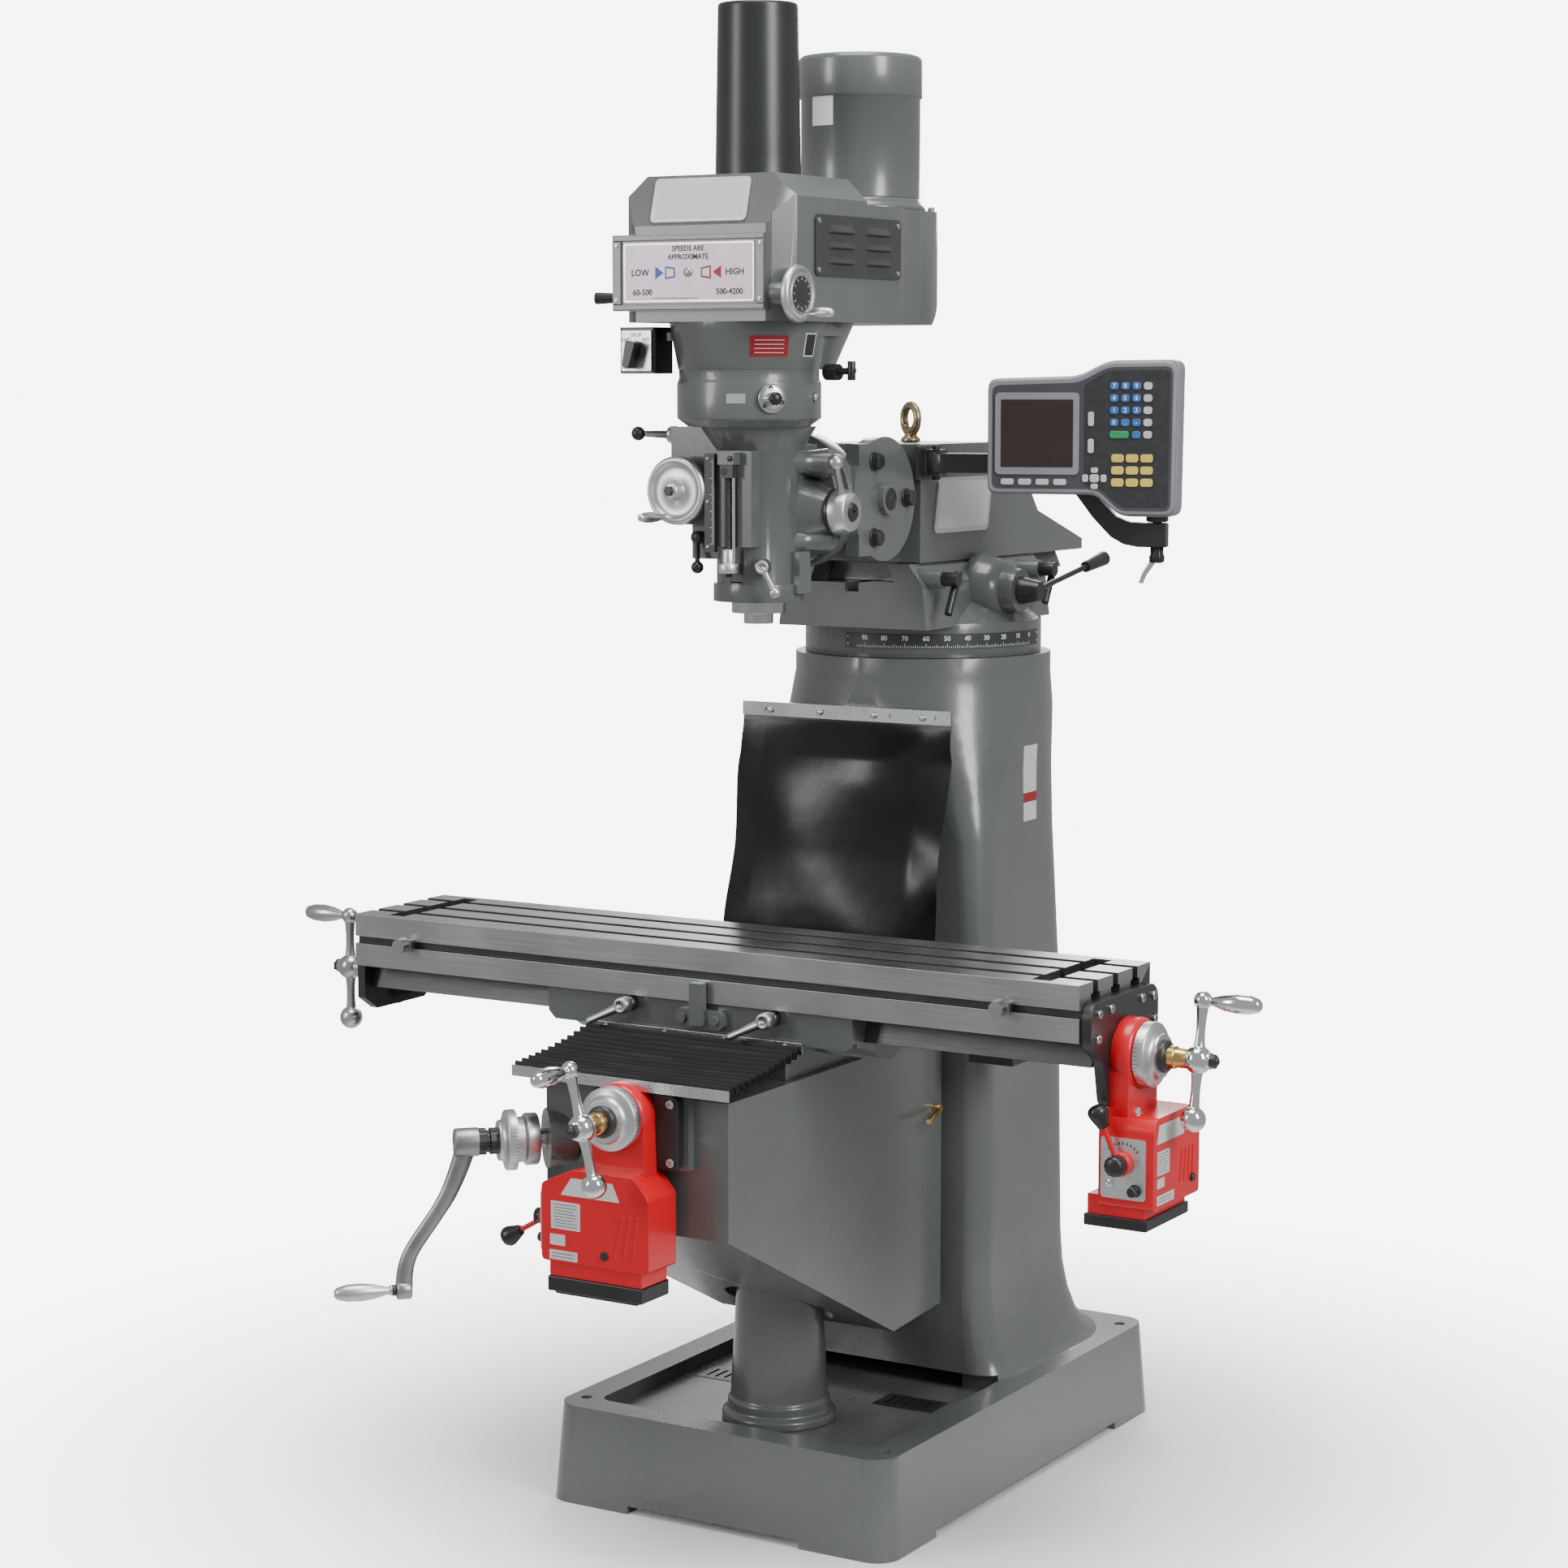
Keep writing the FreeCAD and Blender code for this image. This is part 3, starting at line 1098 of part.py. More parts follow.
def table():
    low = table_top - table_thick
    half = table_length / 2
    y0 = table_y - table_width / 2
    y1 = table_y + table_width / 2
    slab = box(-half, half, y0, y1, low, table_top)
    foot = table_foot_half
    dovetail = prism("YZ_Plane", [(table_y - foot - 12, low - table_foot),
                                  (table_y + foot + 12, low - table_foot),
                                  (table_y + foot, low + 4), (table_y - foot, low + 4)],
                     -half, half)
    solid = fuse(slab, dovetail)
    tools = [rod((-half - 1, table_y, screw_z), (1, 0, 0), table_length + 2, lead_radius + 7),
             box(-half - 1, half + 1, table_y - 16, table_y + 16, low - table_foot - 1, screw_z)]
    for count in (-1, 0, 1):
        y = table_y + count * slot_pitch
        tools.append(box(-half - 1, half + 1, y - slot_width / 2, y + slot_width / 2,
                         table_top - slot_deep, table_top + 1))
        tools.append(box(-half - 1, half + 1, y - slot_tee_width / 2, y + slot_tee_width / 2,
                         table_top - slot_deep - slot_tee_deep, table_top - slot_deep + 1))
    for x in (-half + end_margin, half - end_margin - end_channel):
        tools.append(box(x, x + end_channel, y0 + 16, y1 - 16, table_top - 14, table_top + 1))
    tools.append(box(-half - 1, half + 1, y0 - 1, y0 + 9, table_top - 46, table_top - 35))
    return keep("table", cut(solid, *tools))


def table_stop_dogs():
    y = table_y - table_width / 2
    z = table_top - 40.5
    dogs = []
    for x in (-522, 506):
        dogs.append(fuse(rod((x, y - 24, z), (0, 1, 0), 18, 11),
                         box(x - 14, x + 14, y - 8, y, z - 9, z + 9),
                         box(x - 12, x + 12, y - 1, y + 8, z - 5, z + 5)))
    return keep("table_stop_dogs", group(*dogs))


def table_end_bracket():
    x1 = -table_length / 2
    plate = prism("YZ_Plane", [(table_y - 92, 756), (table_y - 60, 735), (table_y + 60, 735),
                               (table_y + 92, 756), (table_y + 92, 810), (table_y - 92, 810)],
                  x1 - 14, x1, 0)
    boss = rod((x1 - 14, table_y, screw_z), (-1, 0, 0), 30, 40, 38)
    bore = rod((x1 - 60, table_y, screw_z), (1, 0, 0), 80, lead_radius + shaft_gap)
    return keep("table_end_bracket", cut(fuse(plate, boss), bore))


def x_feed_unit():
    """Bracket, bearing housing, gearbox and control base of the table drive."""
    x0 = table_length / 2
    bracket = prism("YZ_Plane", [(table_y - 56, 712), (table_y + 56, 712), (table_y + 70, 780),
                                 (table_y + 110, 806), (table_y + 110, 852), (table_y + 96, 866),
                                 (table_y - 96, 866), (table_y - 110, 852), (table_y - 110, 806),
                                 (table_y - 70, 780)], x0, x0 + 16)
    neck = rod((x0 + 16, table_y, screw_z), (1, 0, 0), 30, 50)
    stem = box(x0 + 10, x0 + 46, table_y - 46, table_y + 46, 690, screw_z)
    case = prism("YZ_Plane", [(table_y - 58, 575), (table_y + 96, 575), (table_y + 96, 672),
                              (table_y + 74, 704), (table_y - 46, 704), (table_y - 58, 690)],
                 x0 + 4, x0 + 88, 5)
    skirt = box(x0 - 16, x0 + 74, table_y - 54, table_y + 80, 560, 590)
    base = box(x0 - 18, x0 + 78, table_y - 58, table_y + 84, 545, 562)
    panel = box(x0 + 8, x0 + 78, table_y - 61, table_y - 57, 588, 676)
    bore = rod((x0 - 1, table_y, screw_z), (1, 0, 0), 60, lead_radius + shaft_gap)
    return keep("x_feed_unit", cut(fuse(bracket, neck, stem, case, skirt, base, panel), bore))


def x_feed_lever():
    x0 = table_length / 2
    y = table_y - 61 - joint_gap
    hub = rod((x0 + 42, y, 640), (0, -1, 0), 14, 17)
    knob = rod((x0 + 42, y - 13, 640), (0, -1, 0), 20, 15)
    parts = pear_lever((x0 + 40, y - 8, 640), (-0.35, -0.1, 0.9), 70, 4, 14)
    return keep("x_feed_lever", fuse(hub, knob, *parts))


def x_screw_cranks():
    half = table_length / 2
    screw = rod((-half - 46, 0, 0), (1, 0, 0), half * 2 + 46 + 50, lead_radius)
    right = ball_crank(80)
    right_set = fuse(*right)
    right_set = place(right_set, (half + 46 + joint_gap, 0, 0), (1, 0, 0), -10)
    hub_x = 56
    left = [turned([(0, 0), (30, 0), (30, 8), (22, 12), (22, 18), (0, 18)], (0, 0, 0), (1, 0, 0)),
            rod((16, 0, 0), (1, 0, 0), hub_x - 16, 13), ball((hub_x, 0, 0), 20),
            rod((hub_x, 0, -ball_arm), (0, 0, 1), ball_arm * 2, 8, 7),
            ball((hub_x, 0, -ball_arm), 18), ball((hub_x, 0, ball_arm), 13),
            turned([(0, 0), (7, 0), (8, 12), (14, 42), (13, 60), (7, 76), (0, 79)],
                   (hub_x + 8, 0, ball_arm), (1, 0, 0))]
    left_set = place(fuse(*left), (-half - 44 - joint_gap, 0, 0), (0, 0, 1), 180)
    whole = fuse(screw, right_set, left_set)
    return keep("x_screw_cranks", place(whole, (0, table_y, screw_z)))


def junction_box():
    """The read-out's junction box on the column's right side."""
    side = column_front_half
    case = box(side + 8, side + 84, -72, -12, 672, 760)
    arm = box(side - 34, side + 10, -24, -14, 700, 735)
    return keep("junction_box", fuse(case, arm))


def cable_clips():
    """Two clips on the table's rear edge that hold the cable loop."""
    y = table_y + table_width / 2
    return keep("cable_clips", group(box(256, 268, y, y + 18, 780, 820),
                                     box(404, 416, y, y + 18, 776, 820)))


def scale_cable():
    """The read-out's cable, sagging in a loop under the table between two clips."""
    spots = [(268, -262, 790), (292, -256, 764), (330, -252, 751), (368, -254, 760), (404, -261, 786)]
    radius = 3.2
    edges = []
    last = FreeCAD.Vector(*spots[0])
    for index in range(1, len(spots) - 1):
        here = FreeCAD.Vector(*spots[index])
        back = FreeCAD.Vector(*spots[index - 1]) - here
        ahead = FreeCAD.Vector(*spots[index + 1]) - here
        turn = math.pi - back.getAngle(ahead)
        bend = 0.45 * min(back.Length, ahead.Length) / math.tan(turn / 2)
        reach = bend * math.tan(turn / 2)
        back.normalize()
        ahead.normalize()
        first = here + back * reach
        second = here + ahead * reach
        middle = (back + ahead).normalize()
        top = here + middle * (bend / math.cos(turn / 2) - bend)
        edges.append(Part.LineSegment(last, first).toShape())
        edges.append(Part.Arc(first, top, second).toShape())
        last = second
        print("cable bend radius", round(bend, 1))
    edges.append(Part.LineSegment(last, FreeCAD.Vector(*spots[-1])).toShape())
    path = Part.Wire(edges)
    start = FreeCAD.Vector(*spots[0])
    heading = FreeCAD.Vector(*spots[1]) - start
    section = Part.Wire(Part.makeCircle(radius, start, heading))
    tube = path.makePipeShell([section], True, True)
    thing = doc.addObject("Part::Feature", "Cable")
    thing.Shape = tube
    print("cable length", round(path.Length, 1), "volume ratio",
          round(tube.Volume / (math.pi * radius ** 2 * path.Length), 4))
    return keep("scale_cable", thing)


# ---------------------------------------------------------------- build and write
column_base_casting()
chip_strainers()
knee_screw_pedestal()
way_cover_strip()
way_cover_sheet()
turret_casting()
turret_degree_scale()
ram_lock_lever("ram_lock_lever_front", column_top_y - 210)
ram_lock_lever("ram_lock_lever_rear", column_top_y + 120)
ram_pinion_lever()
ram_casting()
ram_badge()
lifting_eye()
dro_bracket()
dro_arm()
dro_display()
ram_adapter()
quill_housing()
gear_housing()
belt_housing()
front_plates()
vent_plate()
drive_motor()
drawbar_cover()
switch_box()
switch_knob()
speed_handwheel()
brake_lever()
range_lever()
feed_selector()
feed_engage_lever()
fine_feed_handwheel()
feed_trip_lever()
quill_lock_lever()
quill_feed_lever()
quill_stop_screw()
keep("head_lock_nuts", group(*head_lock_nuts()))
quill()
spindle()
knee_casting()
knee_gib_lock()
elevating_screw()
knee_crank()
y_feed_unit()
y_feed_lever()
y_screw_crank()
saddle_casting()
table_lock_lever("table_lock_lever_left", -112)
table_lock_lever("table_lock_lever_right", 133)
table_stop_bracket()
bellows_cover()
table()
table_stop_dogs()
table_end_bracket()
x_feed_unit()
x_feed_lever()
x_screw_cranks()
junction_box()
cable_clips()
scale_cable()

doc.recompute()
faults = [thing.Name + " " + thing.Label for thing in doc.Objects
          if "Invalid" in thing.State or "Error" in thing.State]
for node in nodes:
    if node.Shape.isNull() or not node.Shape.isValid() or not node.Shape.Solids:
        faults.append(node.Label + " has no valid solid")
if faults:
    raise RuntimeError("failed objects: " + ", ".join(faults))

os.makedirs("parts", exist_ok=True)
for node in nodes:
    node.Shape.exportStep("parts/" + node.Label + ".step")
print(len(nodes), "sub-parts written")
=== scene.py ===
import json
import math

import bmesh
import bpy
from mathutils import Matrix, Vector, noise


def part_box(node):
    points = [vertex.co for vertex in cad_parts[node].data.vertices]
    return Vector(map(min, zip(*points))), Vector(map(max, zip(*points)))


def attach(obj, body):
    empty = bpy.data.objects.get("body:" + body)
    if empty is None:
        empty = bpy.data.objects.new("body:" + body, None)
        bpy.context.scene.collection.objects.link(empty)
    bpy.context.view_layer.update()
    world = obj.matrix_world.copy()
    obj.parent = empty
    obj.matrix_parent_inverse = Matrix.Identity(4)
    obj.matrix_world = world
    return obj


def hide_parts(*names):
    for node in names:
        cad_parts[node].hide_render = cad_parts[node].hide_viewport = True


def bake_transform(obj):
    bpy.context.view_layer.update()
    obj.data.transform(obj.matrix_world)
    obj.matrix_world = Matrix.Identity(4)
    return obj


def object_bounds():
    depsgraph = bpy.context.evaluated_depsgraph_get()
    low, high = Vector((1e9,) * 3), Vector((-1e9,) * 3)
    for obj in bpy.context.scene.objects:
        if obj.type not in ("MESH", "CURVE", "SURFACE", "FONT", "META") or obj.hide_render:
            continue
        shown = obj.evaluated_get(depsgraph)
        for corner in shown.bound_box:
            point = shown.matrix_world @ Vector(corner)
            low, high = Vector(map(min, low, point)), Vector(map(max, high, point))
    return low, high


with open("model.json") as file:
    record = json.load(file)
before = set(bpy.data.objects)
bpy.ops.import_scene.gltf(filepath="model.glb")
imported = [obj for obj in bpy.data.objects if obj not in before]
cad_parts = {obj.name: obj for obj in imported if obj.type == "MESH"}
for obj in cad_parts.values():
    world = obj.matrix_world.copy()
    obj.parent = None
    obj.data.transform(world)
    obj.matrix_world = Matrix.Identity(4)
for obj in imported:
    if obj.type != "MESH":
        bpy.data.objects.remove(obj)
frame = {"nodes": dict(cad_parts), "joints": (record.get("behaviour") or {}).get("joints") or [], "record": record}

# Looks of the vertical turret milling machine.  Lengths inside the builders are in
# millimetres; every object is written in metres.  +X right, +Y back, +Z up.

MM = 0.001
RIGHT, LEFT, FRONT, UP = (1, 0, 0), (-1, 0, 0), (0, -1, 0), (0, 0, 1)
cad_low, cad_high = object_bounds()
slot_of_node = {part["node"]: part["material_slot"] for part in frame["record"]["subparts"]}


def corners(node):
    """A CAD node's lowest and highest corner in millimetres."""
    low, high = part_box(node)
    return low / MM, high / MM


# ------------------------------------------------------------------ camera and light
LENS_MM, SENSOR_MM = 78.39, 36
CAMERA_SPOT = (2.6393, -4.6445, 1.7093)
CAMERA_PITCH, CAMERA_YAW = 83.29, 30.97
FAR_CLIP = 60
# name, spot, target, width, height in metres, power in watts
LAMPS = (("key", (4.6, -1.8, 3.6), (0, 0, 1.0), 1.4, 3.0, 230),
         ("fill", (-2.8, -4.6, 2.8), (0, 0, 1.2), 1.2, 2.6, 88),
         ("top", (0.2, -0.8, 5.0), (0, 0, 0), 2.4, 2.4, 170),
         ("rim", (-1.8, 4.2, 3.2), (0, 0, 1.3), 2.0, 2.0, 120))
SOFT_LIGHT, SEEN_WHITE = 0.42, 9.0
FLOOR_REACH, FLOOR_RINGS, FLOOR_SIDES = 2600, 24, 96
FLOOR_DROP = 0.0005
FADE_FROM, FADE_TO = 0.35, 1.9


def add_camera():
    data = bpy.data.cameras.new("camera")
    data.lens = LENS_MM
    data.sensor_width = SENSOR_MM
    data.clip_end = FAR_CLIP
    camera = bpy.data.objects.new("camera", data)
    camera.location = CAMERA_SPOT
    camera.rotation_euler = (math.radians(CAMERA_PITCH), 0, math.radians(CAMERA_YAW))
    bpy.context.scene.collection.objects.link(camera)
    bpy.context.scene.camera = camera


def add_light(name, spot, target, width, height, power):
    data = bpy.data.lights.new(name, "AREA")
    data.shape = "RECTANGLE"
    data.size = width
    data.size_y = height
    data.energy = power
    lamp = bpy.data.objects.new(name, data)
    lamp.location = spot
    aim = Vector(target) - Vector(spot)
    lamp.rotation_euler = aim.to_track_quat("-Z", "Y").to_euler()
    bpy.context.scene.collection.objects.link(lamp)


def add_studio():
    """Four soft lamps, a soft surround, and a white that only the camera sees."""
    for lamp in LAMPS:
        add_light(*lamp)
    world = bpy.data.worlds.new("studio")
    bpy.context.scene.world = world
    world.use_nodes = True
    nodes = world.node_tree.nodes
    links = world.node_tree.links
    soft = nodes["Background"]
    soft.inputs[0].default_value = (1, 1, 1, 1)
    soft.inputs[1].default_value = SOFT_LIGHT
    bright = nodes.new("ShaderNodeBackground")
    bright.inputs[1].default_value = SEEN_WHITE
    seen = nodes.new("ShaderNodeLightPath")
    choose = nodes.new("ShaderNodeMixShader")
    links.new(seen.outputs["Is Camera Ray"], choose.inputs[0])
    links.new(soft.outputs[0], choose.inputs[1])
    links.new(bright.outputs[0], choose.inputs[2])
    links.new(choose.outputs[0], nodes["World Output"].inputs[0])


def add_floor():
    """A round pale floor that fades out at its rim."""
    rings, sides = FLOOR_RINGS, FLOOR_SIDES
    shape = Shape()
    points = [(0, 0, 0)]
    for ring in range(1, rings + 1):
        reach = FLOOR_REACH * ring / rings
        points += [(reach * math.cos(2 * math.pi * step / sides),
                    reach * math.sin(2 * math.pi * step / sides), 0) for step in range(sides)]
    faces = [(0, 1 + step, 1 + (step + 1) % sides) for step in range(sides)]
    for ring in range(rings - 1):
        for step in range(sides):
            after = (step + 1) % sides
            a, b = 1 + ring * sides, 1 + (ring + 1) * sides
            faces.append((a + step, b + step, b + after, a + after))
    shape.add(points, faces, FLOOR)
    shape.mesh.transform(Matrix.Scale(MM, 4))
    data = bpy.data.meshes.new("studio_floor")
    shape.mesh.to_mesh(data)
    shape.mesh.free()
    data.materials.append(FLOOR)
    floor = bpy.data.objects.new("studio_floor", data)
    floor.location = (0, 0, cad_low.z - FLOOR_DROP)
    bpy.context.scene.collection.objects.link(floor)
    nodes = FLOOR.node_tree.nodes
    links = FLOOR.node_tree.links
    distance = nodes.new("ShaderNodeVectorMath")
    distance.operation = "LENGTH"
    links.new(nodes["Texture Coordinate"].outputs["Object"], distance.inputs[0])
    fade = nodes.new("ShaderNodeMapRange")
    fade.interpolation_type = "SMOOTHSTEP"
    fade.inputs["From Min"].default_value = FADE_FROM
    fade.inputs["From Max"].default_value = FADE_TO
    links.new(distance.outputs["Value"], fade.inputs["Value"])
    clear = nodes.new("ShaderNodeBsdfTransparent")
    blend = nodes.new("ShaderNodeMixShader")
    links.new(fade.outputs["Result"], blend.inputs[0])
    links.new(nodes["Principled BSDF"].outputs[0], blend.inputs[1])
    links.new(clear.outputs[0], blend.inputs[2])
    links.new(blend.outputs[0], nodes["Material Output"].inputs[0])


# ------------------------------------------------------------------ materials
def finish(name, light, dark, rough, patch=5.0, grain=(240, 240, 240), bump=0.1, metallic=0.0,
           coat=0.0, coat_rough=0.1, wear=None, wear_size=0.03, uneven=0.0, specular=0.5,
           sheen=0.0):
    """A surface with mottled colour, a varying roughness, a fine grain and worn edges."""
    material = bpy.data.materials.new(name)
    material.use_nodes = True
    nodes = material.node_tree.nodes
    links = material.node_tree.links
    shader = nodes["Principled BSDF"]
    shader.inputs["Metallic"].default_value = metallic
    shader.inputs["Coat Weight"].default_value = coat
    shader.inputs["Coat Roughness"].default_value = coat_rough
    shader.inputs["Specular IOR Level"].default_value = specular
    shader.inputs["Sheen Weight"].default_value = sheen
    where = nodes.new("ShaderNodeTexCoord").outputs["Object"]

    cloud = nodes.new("ShaderNodeTexNoise")
    cloud.inputs["Scale"].default_value = patch
    cloud.inputs["Detail"].default_value = 5
    links.new(where, cloud.inputs["Vector"])
    tone = nodes.new("ShaderNodeValToRGB")
    tone.color_ramp.elements[0].position = 0.3
    tone.color_ramp.elements[1].position = 0.7
    tone.color_ramp.elements[0].color = (*dark, 1)
    tone.color_ramp.elements[1].color = (*light, 1)
    links.new(cloud.outputs["Fac"], tone.inputs["Fac"])
    colour = tone.outputs["Color"]

    if wear:
        edge = nodes.new("ShaderNodeNewGeometry")
        worn = nodes.new("ShaderNodeMapRange")
        worn.inputs["From Min"].default_value = 0.5 + wear_size
        worn.inputs["From Max"].default_value = 0.5 + wear_size * 4
        worn.inputs["To Max"].default_value = 0.55
        links.new(edge.outputs["Pointiness"], worn.inputs["Value"])
        rub = nodes.new("ShaderNodeMix")
        rub.data_type = "RGBA"
        rub.inputs["B"].default_value = (*wear, 1)
        links.new(worn.outputs["Result"], rub.inputs["Factor"])
        links.new(colour, rub.inputs["A"])
        colour = rub.outputs["Result"]
    links.new(colour, shader.inputs["Base Color"])

    stretch = nodes.new("ShaderNodeMapping")
    stretch.inputs["Scale"].default_value = grain
    links.new(where, stretch.inputs["Vector"])
    fine = nodes.new("ShaderNodeTexNoise")
    fine.inputs["Scale"].default_value = 1.0
    fine.inputs["Detail"].default_value = 3
    links.new(stretch.outputs["Vector"], fine.inputs["Vector"])

    both = nodes.new("ShaderNodeMath")
    both.operation = "ADD"
    links.new(cloud.outputs["Fac"], both.inputs[0])
    links.new(fine.outputs["Fac"], both.inputs[1])
    gloss = nodes.new("ShaderNodeMapRange")
    gloss.inputs["From Min"].default_value = 0.6
    gloss.inputs["From Max"].default_value = 1.4
    gloss.inputs["To Min"].default_value = rough[0]
    gloss.inputs["To Max"].default_value = rough[1]
    links.new(both.outputs[0], gloss.inputs["Value"])
    links.new(gloss.outputs["Result"], shader.inputs["Roughness"])

    ridges = nodes.new("ShaderNodeBump")
    ridges.inputs["Strength"].default_value = bump
    ridges.inputs["Distance"].default_value = 0.0005
    links.new(fine.outputs["Fac"], ridges.inputs["Height"])
    normal = ridges.outputs["Normal"]
    if uneven:
        swell = nodes.new("ShaderNodeTexNoise")
        swell.inputs["Scale"].default_value = 11
        swell.inputs["Detail"].default_value = 2
        links.new(where, swell.inputs["Vector"])
        wave = nodes.new("ShaderNodeBump")
        wave.inputs["Strength"].default_value = uneven
        wave.inputs["Distance"].default_value = 0.004
        links.new(swell.outputs["Fac"], wave.inputs["Height"])
        links.new(normal, wave.inputs["Normal"])
        normal = wave.outputs["Normal"]
    links.new(normal, shader.inputs["Normal"])
    return material


ENAMEL = finish("enamel", (0.112, 0.122, 0.119), (0.094, 0.103, 0.100), (0.24, 0.34), patch=4,
                grain=(90, 90, 90), bump=0.02, coat=0.45, coat_rough=0.14,
                wear=(0.16, 0.17, 0.166), wear_size=0.05, uneven=0.05)
RED = finish("red_enamel", (0.70, 0.004, 0.014), (0.62, 0.003, 0.011), (0.26, 0.36), patch=9,
             bump=0.04, coat=0.35, coat_rough=0.1, wear=(0.75, 0.06, 0.07), uneven=0.02,
             specular=0.35)
GROUND = finish("ground_steel", (0.44, 0.455, 0.45), (0.33, 0.345, 0.34), (0.24, 0.42), patch=6,
                grain=(9, 420, 420), bump=0.16, metallic=1.0, wear=(0.62, 0.63, 0.63))
# Painted shade: a darker copy of the ground steel, laid on the table's slots, groove and underside.
SHADED = finish("painted_shade_dark_steel", (0.085, 0.090, 0.089), (0.05, 0.054, 0.053), (0.30, 0.44),
                patch=8, grain=(20, 300, 300), bump=0.12, metallic=0.6)
STEEL = finish("machined_steel", (0.60, 0.61, 0.61), (0.50, 0.51, 0.51), (0.2, 0.34), patch=14,
               grain=(300, 300, 900), bump=0.12, metallic=1.0, wear=(0.75, 0.75, 0.75))
CHROME = finish("chrome", (0.83, 0.84, 0.85), (0.78, 0.79, 0.80), (0.05, 0.13), patch=20,
                bump=0.03, metallic=1.0)
ALUMINIUM = finish("turned_aluminium", (0.72, 0.73, 0.73), (0.62, 0.63, 0.63), (0.30, 0.44),
                   patch=18, grain=(700, 700, 700), bump=0.14, metallic=1.0,
                   wear=(0.82, 0.82, 0.82))
BLACK_STEEL = finish("black_oxide", (0.020, 0.021, 0.022), (0.011, 0.012, 0.013), (0.30, 0.46),
                     patch=22, bump=0.14, coat=0.2, coat_rough=0.25, wear=(0.07, 0.07, 0.072))
BLACK_PLATE = finish("black_sheet_steel", (0.020, 0.022, 0.022), (0.013, 0.014, 0.014),
                     (0.32, 0.45), patch=14, grain=(420, 420, 420), bump=0.2,
                     wear=(0.06, 0.06, 0.062))
BLACK_TUBE = finish("black_tube", (0.020, 0.023, 0.023), (0.014, 0.016, 0.016), (0.30, 0.40),
                    patch=6, grain=(520, 520, 520), bump=0.22, coat=0.15, coat_rough=0.3)
PLASTIC = finish("black_plastic", (0.016, 0.016, 0.018), (0.010, 0.010, 0.011), (0.30, 0.42),
                 patch=30, grain=(900, 900, 900), bump=0.1, coat=0.2, coat_rough=0.2)
RUBBER = finish("rubber", (0.0045, 0.005, 0.005), (0.003, 0.0035, 0.0035), (0.20, 0.34), patch=10,
                grain=(620, 620, 620), bump=0.12, uneven=0.3, specular=0.4)
BELLOWS = finish("bellows_rubber", (0.006, 0.0065, 0.0065), (0.004, 0.004, 0.0045), (0.4, 0.55),
                 patch=25, grain=(900, 900, 900), bump=0.25, specular=0.4)
ZINC = finish("zinc", (0.50, 0.40, 0.24), (0.33, 0.25, 0.14), (0.26, 0.44), patch=30,
              bump=0.12, metallic=1.0, wear=(0.62, 0.55, 0.40))
BRASS = finish("brass", (0.78, 0.52, 0.20), (0.62, 0.40, 0.14), (0.16, 0.3), patch=40,
               bump=0.08, metallic=1.0, wear=(0.85, 0.66, 0.35))
CASE = finish("display_case", (0.235, 0.235, 0.265), (0.205, 0.205, 0.232), (0.36, 0.48),
              patch=20, grain=(1200, 1200, 1200), bump=0.12, wear=(0.30, 0.30, 0.33))
FASCIA = finish("display_fascia", (0.064, 0.062, 0.070), (0.052, 0.050, 0.057), (0.32, 0.42),
                patch=12, grain=(1400, 1400, 1400), bump=0.08)
SCREEN = finish("display_screen", (0.026, 0.010, 0.008), (0.016, 0.007, 0.006), (0.07, 0.13),
                patch=8, bump=0.02, coat=0.8, coat_rough=0.04)
KEY_PALE = finish("key_pale", (0.56, 0.55, 0.54), (0.50, 0.49, 0.48), (0.38, 0.5), patch=60)
KEY_BLUE = finish("key_blue", (0.035, 0.16, 0.46), (0.025, 0.12, 0.38), (0.36, 0.46), patch=60)
KEY_GREEN = finish("key_green", (0.02, 0.30, 0.12), (0.015, 0.24, 0.09), (0.36, 0.46), patch=60)
KEY_YELLOW = finish("key_yellow", (0.72, 0.55, 0.10), (0.64, 0.47, 0.08), (0.36, 0.46), patch=60)
PALE_INK = finish("pale_ink", (0.80, 0.80, 0.80), (0.72, 0.72, 0.72), (0.4, 0.55), patch=80)
# Dark ink for print; also used as painted shade in the louvre openings and the screw slots.
DARK_INK_AND_SHADE = finish("dark_ink_and_painted_shade", (0.030, 0.031, 0.034), (0.020, 0.021, 0.023), (0.4, 0.55), patch=80)
RED_INK = finish("red_ink", (0.34, 0.006, 0.016), (0.28, 0.005, 0.012), (0.35, 0.5), patch=80)
BLUE_INK = finish("blue_ink", (0.03, 0.10, 0.42), (0.02, 0.07, 0.34), (0.35, 0.5), patch=80)
CHART = finish("chart_plate", (0.47, 0.38, 0.44), (0.42, 0.34, 0.40), (0.22, 0.36), patch=7,
               grain=(900, 60, 60), bump=0.05, metallic=0.35)
SILVER = finish("silver_plate", (0.66, 0.67, 0.67), (0.58, 0.59, 0.59), (0.24, 0.38), patch=9,
                grain=(30, 700, 700), bump=0.1, metallic=0.8, wear=(0.8, 0.8, 0.8))
ARM_METAL = finish("cast_arm", (0.40, 0.41, 0.41), (0.31, 0.32, 0.32), (0.34, 0.46), patch=30,
                   grain=(420, 420, 420), bump=0.22, metallic=1.0, wear=(0.6, 0.6, 0.6))
LEVER_METAL = finish("satin_lever", (0.62, 0.62, 0.61), (0.52, 0.52, 0.51), (0.30, 0.42),
                     patch=26, grain=(600, 600, 600), bump=0.14, metallic=1.0,
                     wear=(0.75, 0.75, 0.75))
LABEL = finish("label_paper", (0.64, 0.65, 0.64), (0.58, 0.59, 0.58), (0.4, 0.52), patch=12)
FLOOR = finish("studio_floor", (0.84, 0.84, 0.84), (0.80, 0.80, 0.80), (0.55, 0.7), patch=1.2,
               grain=(60, 60, 60), bump=0.03)

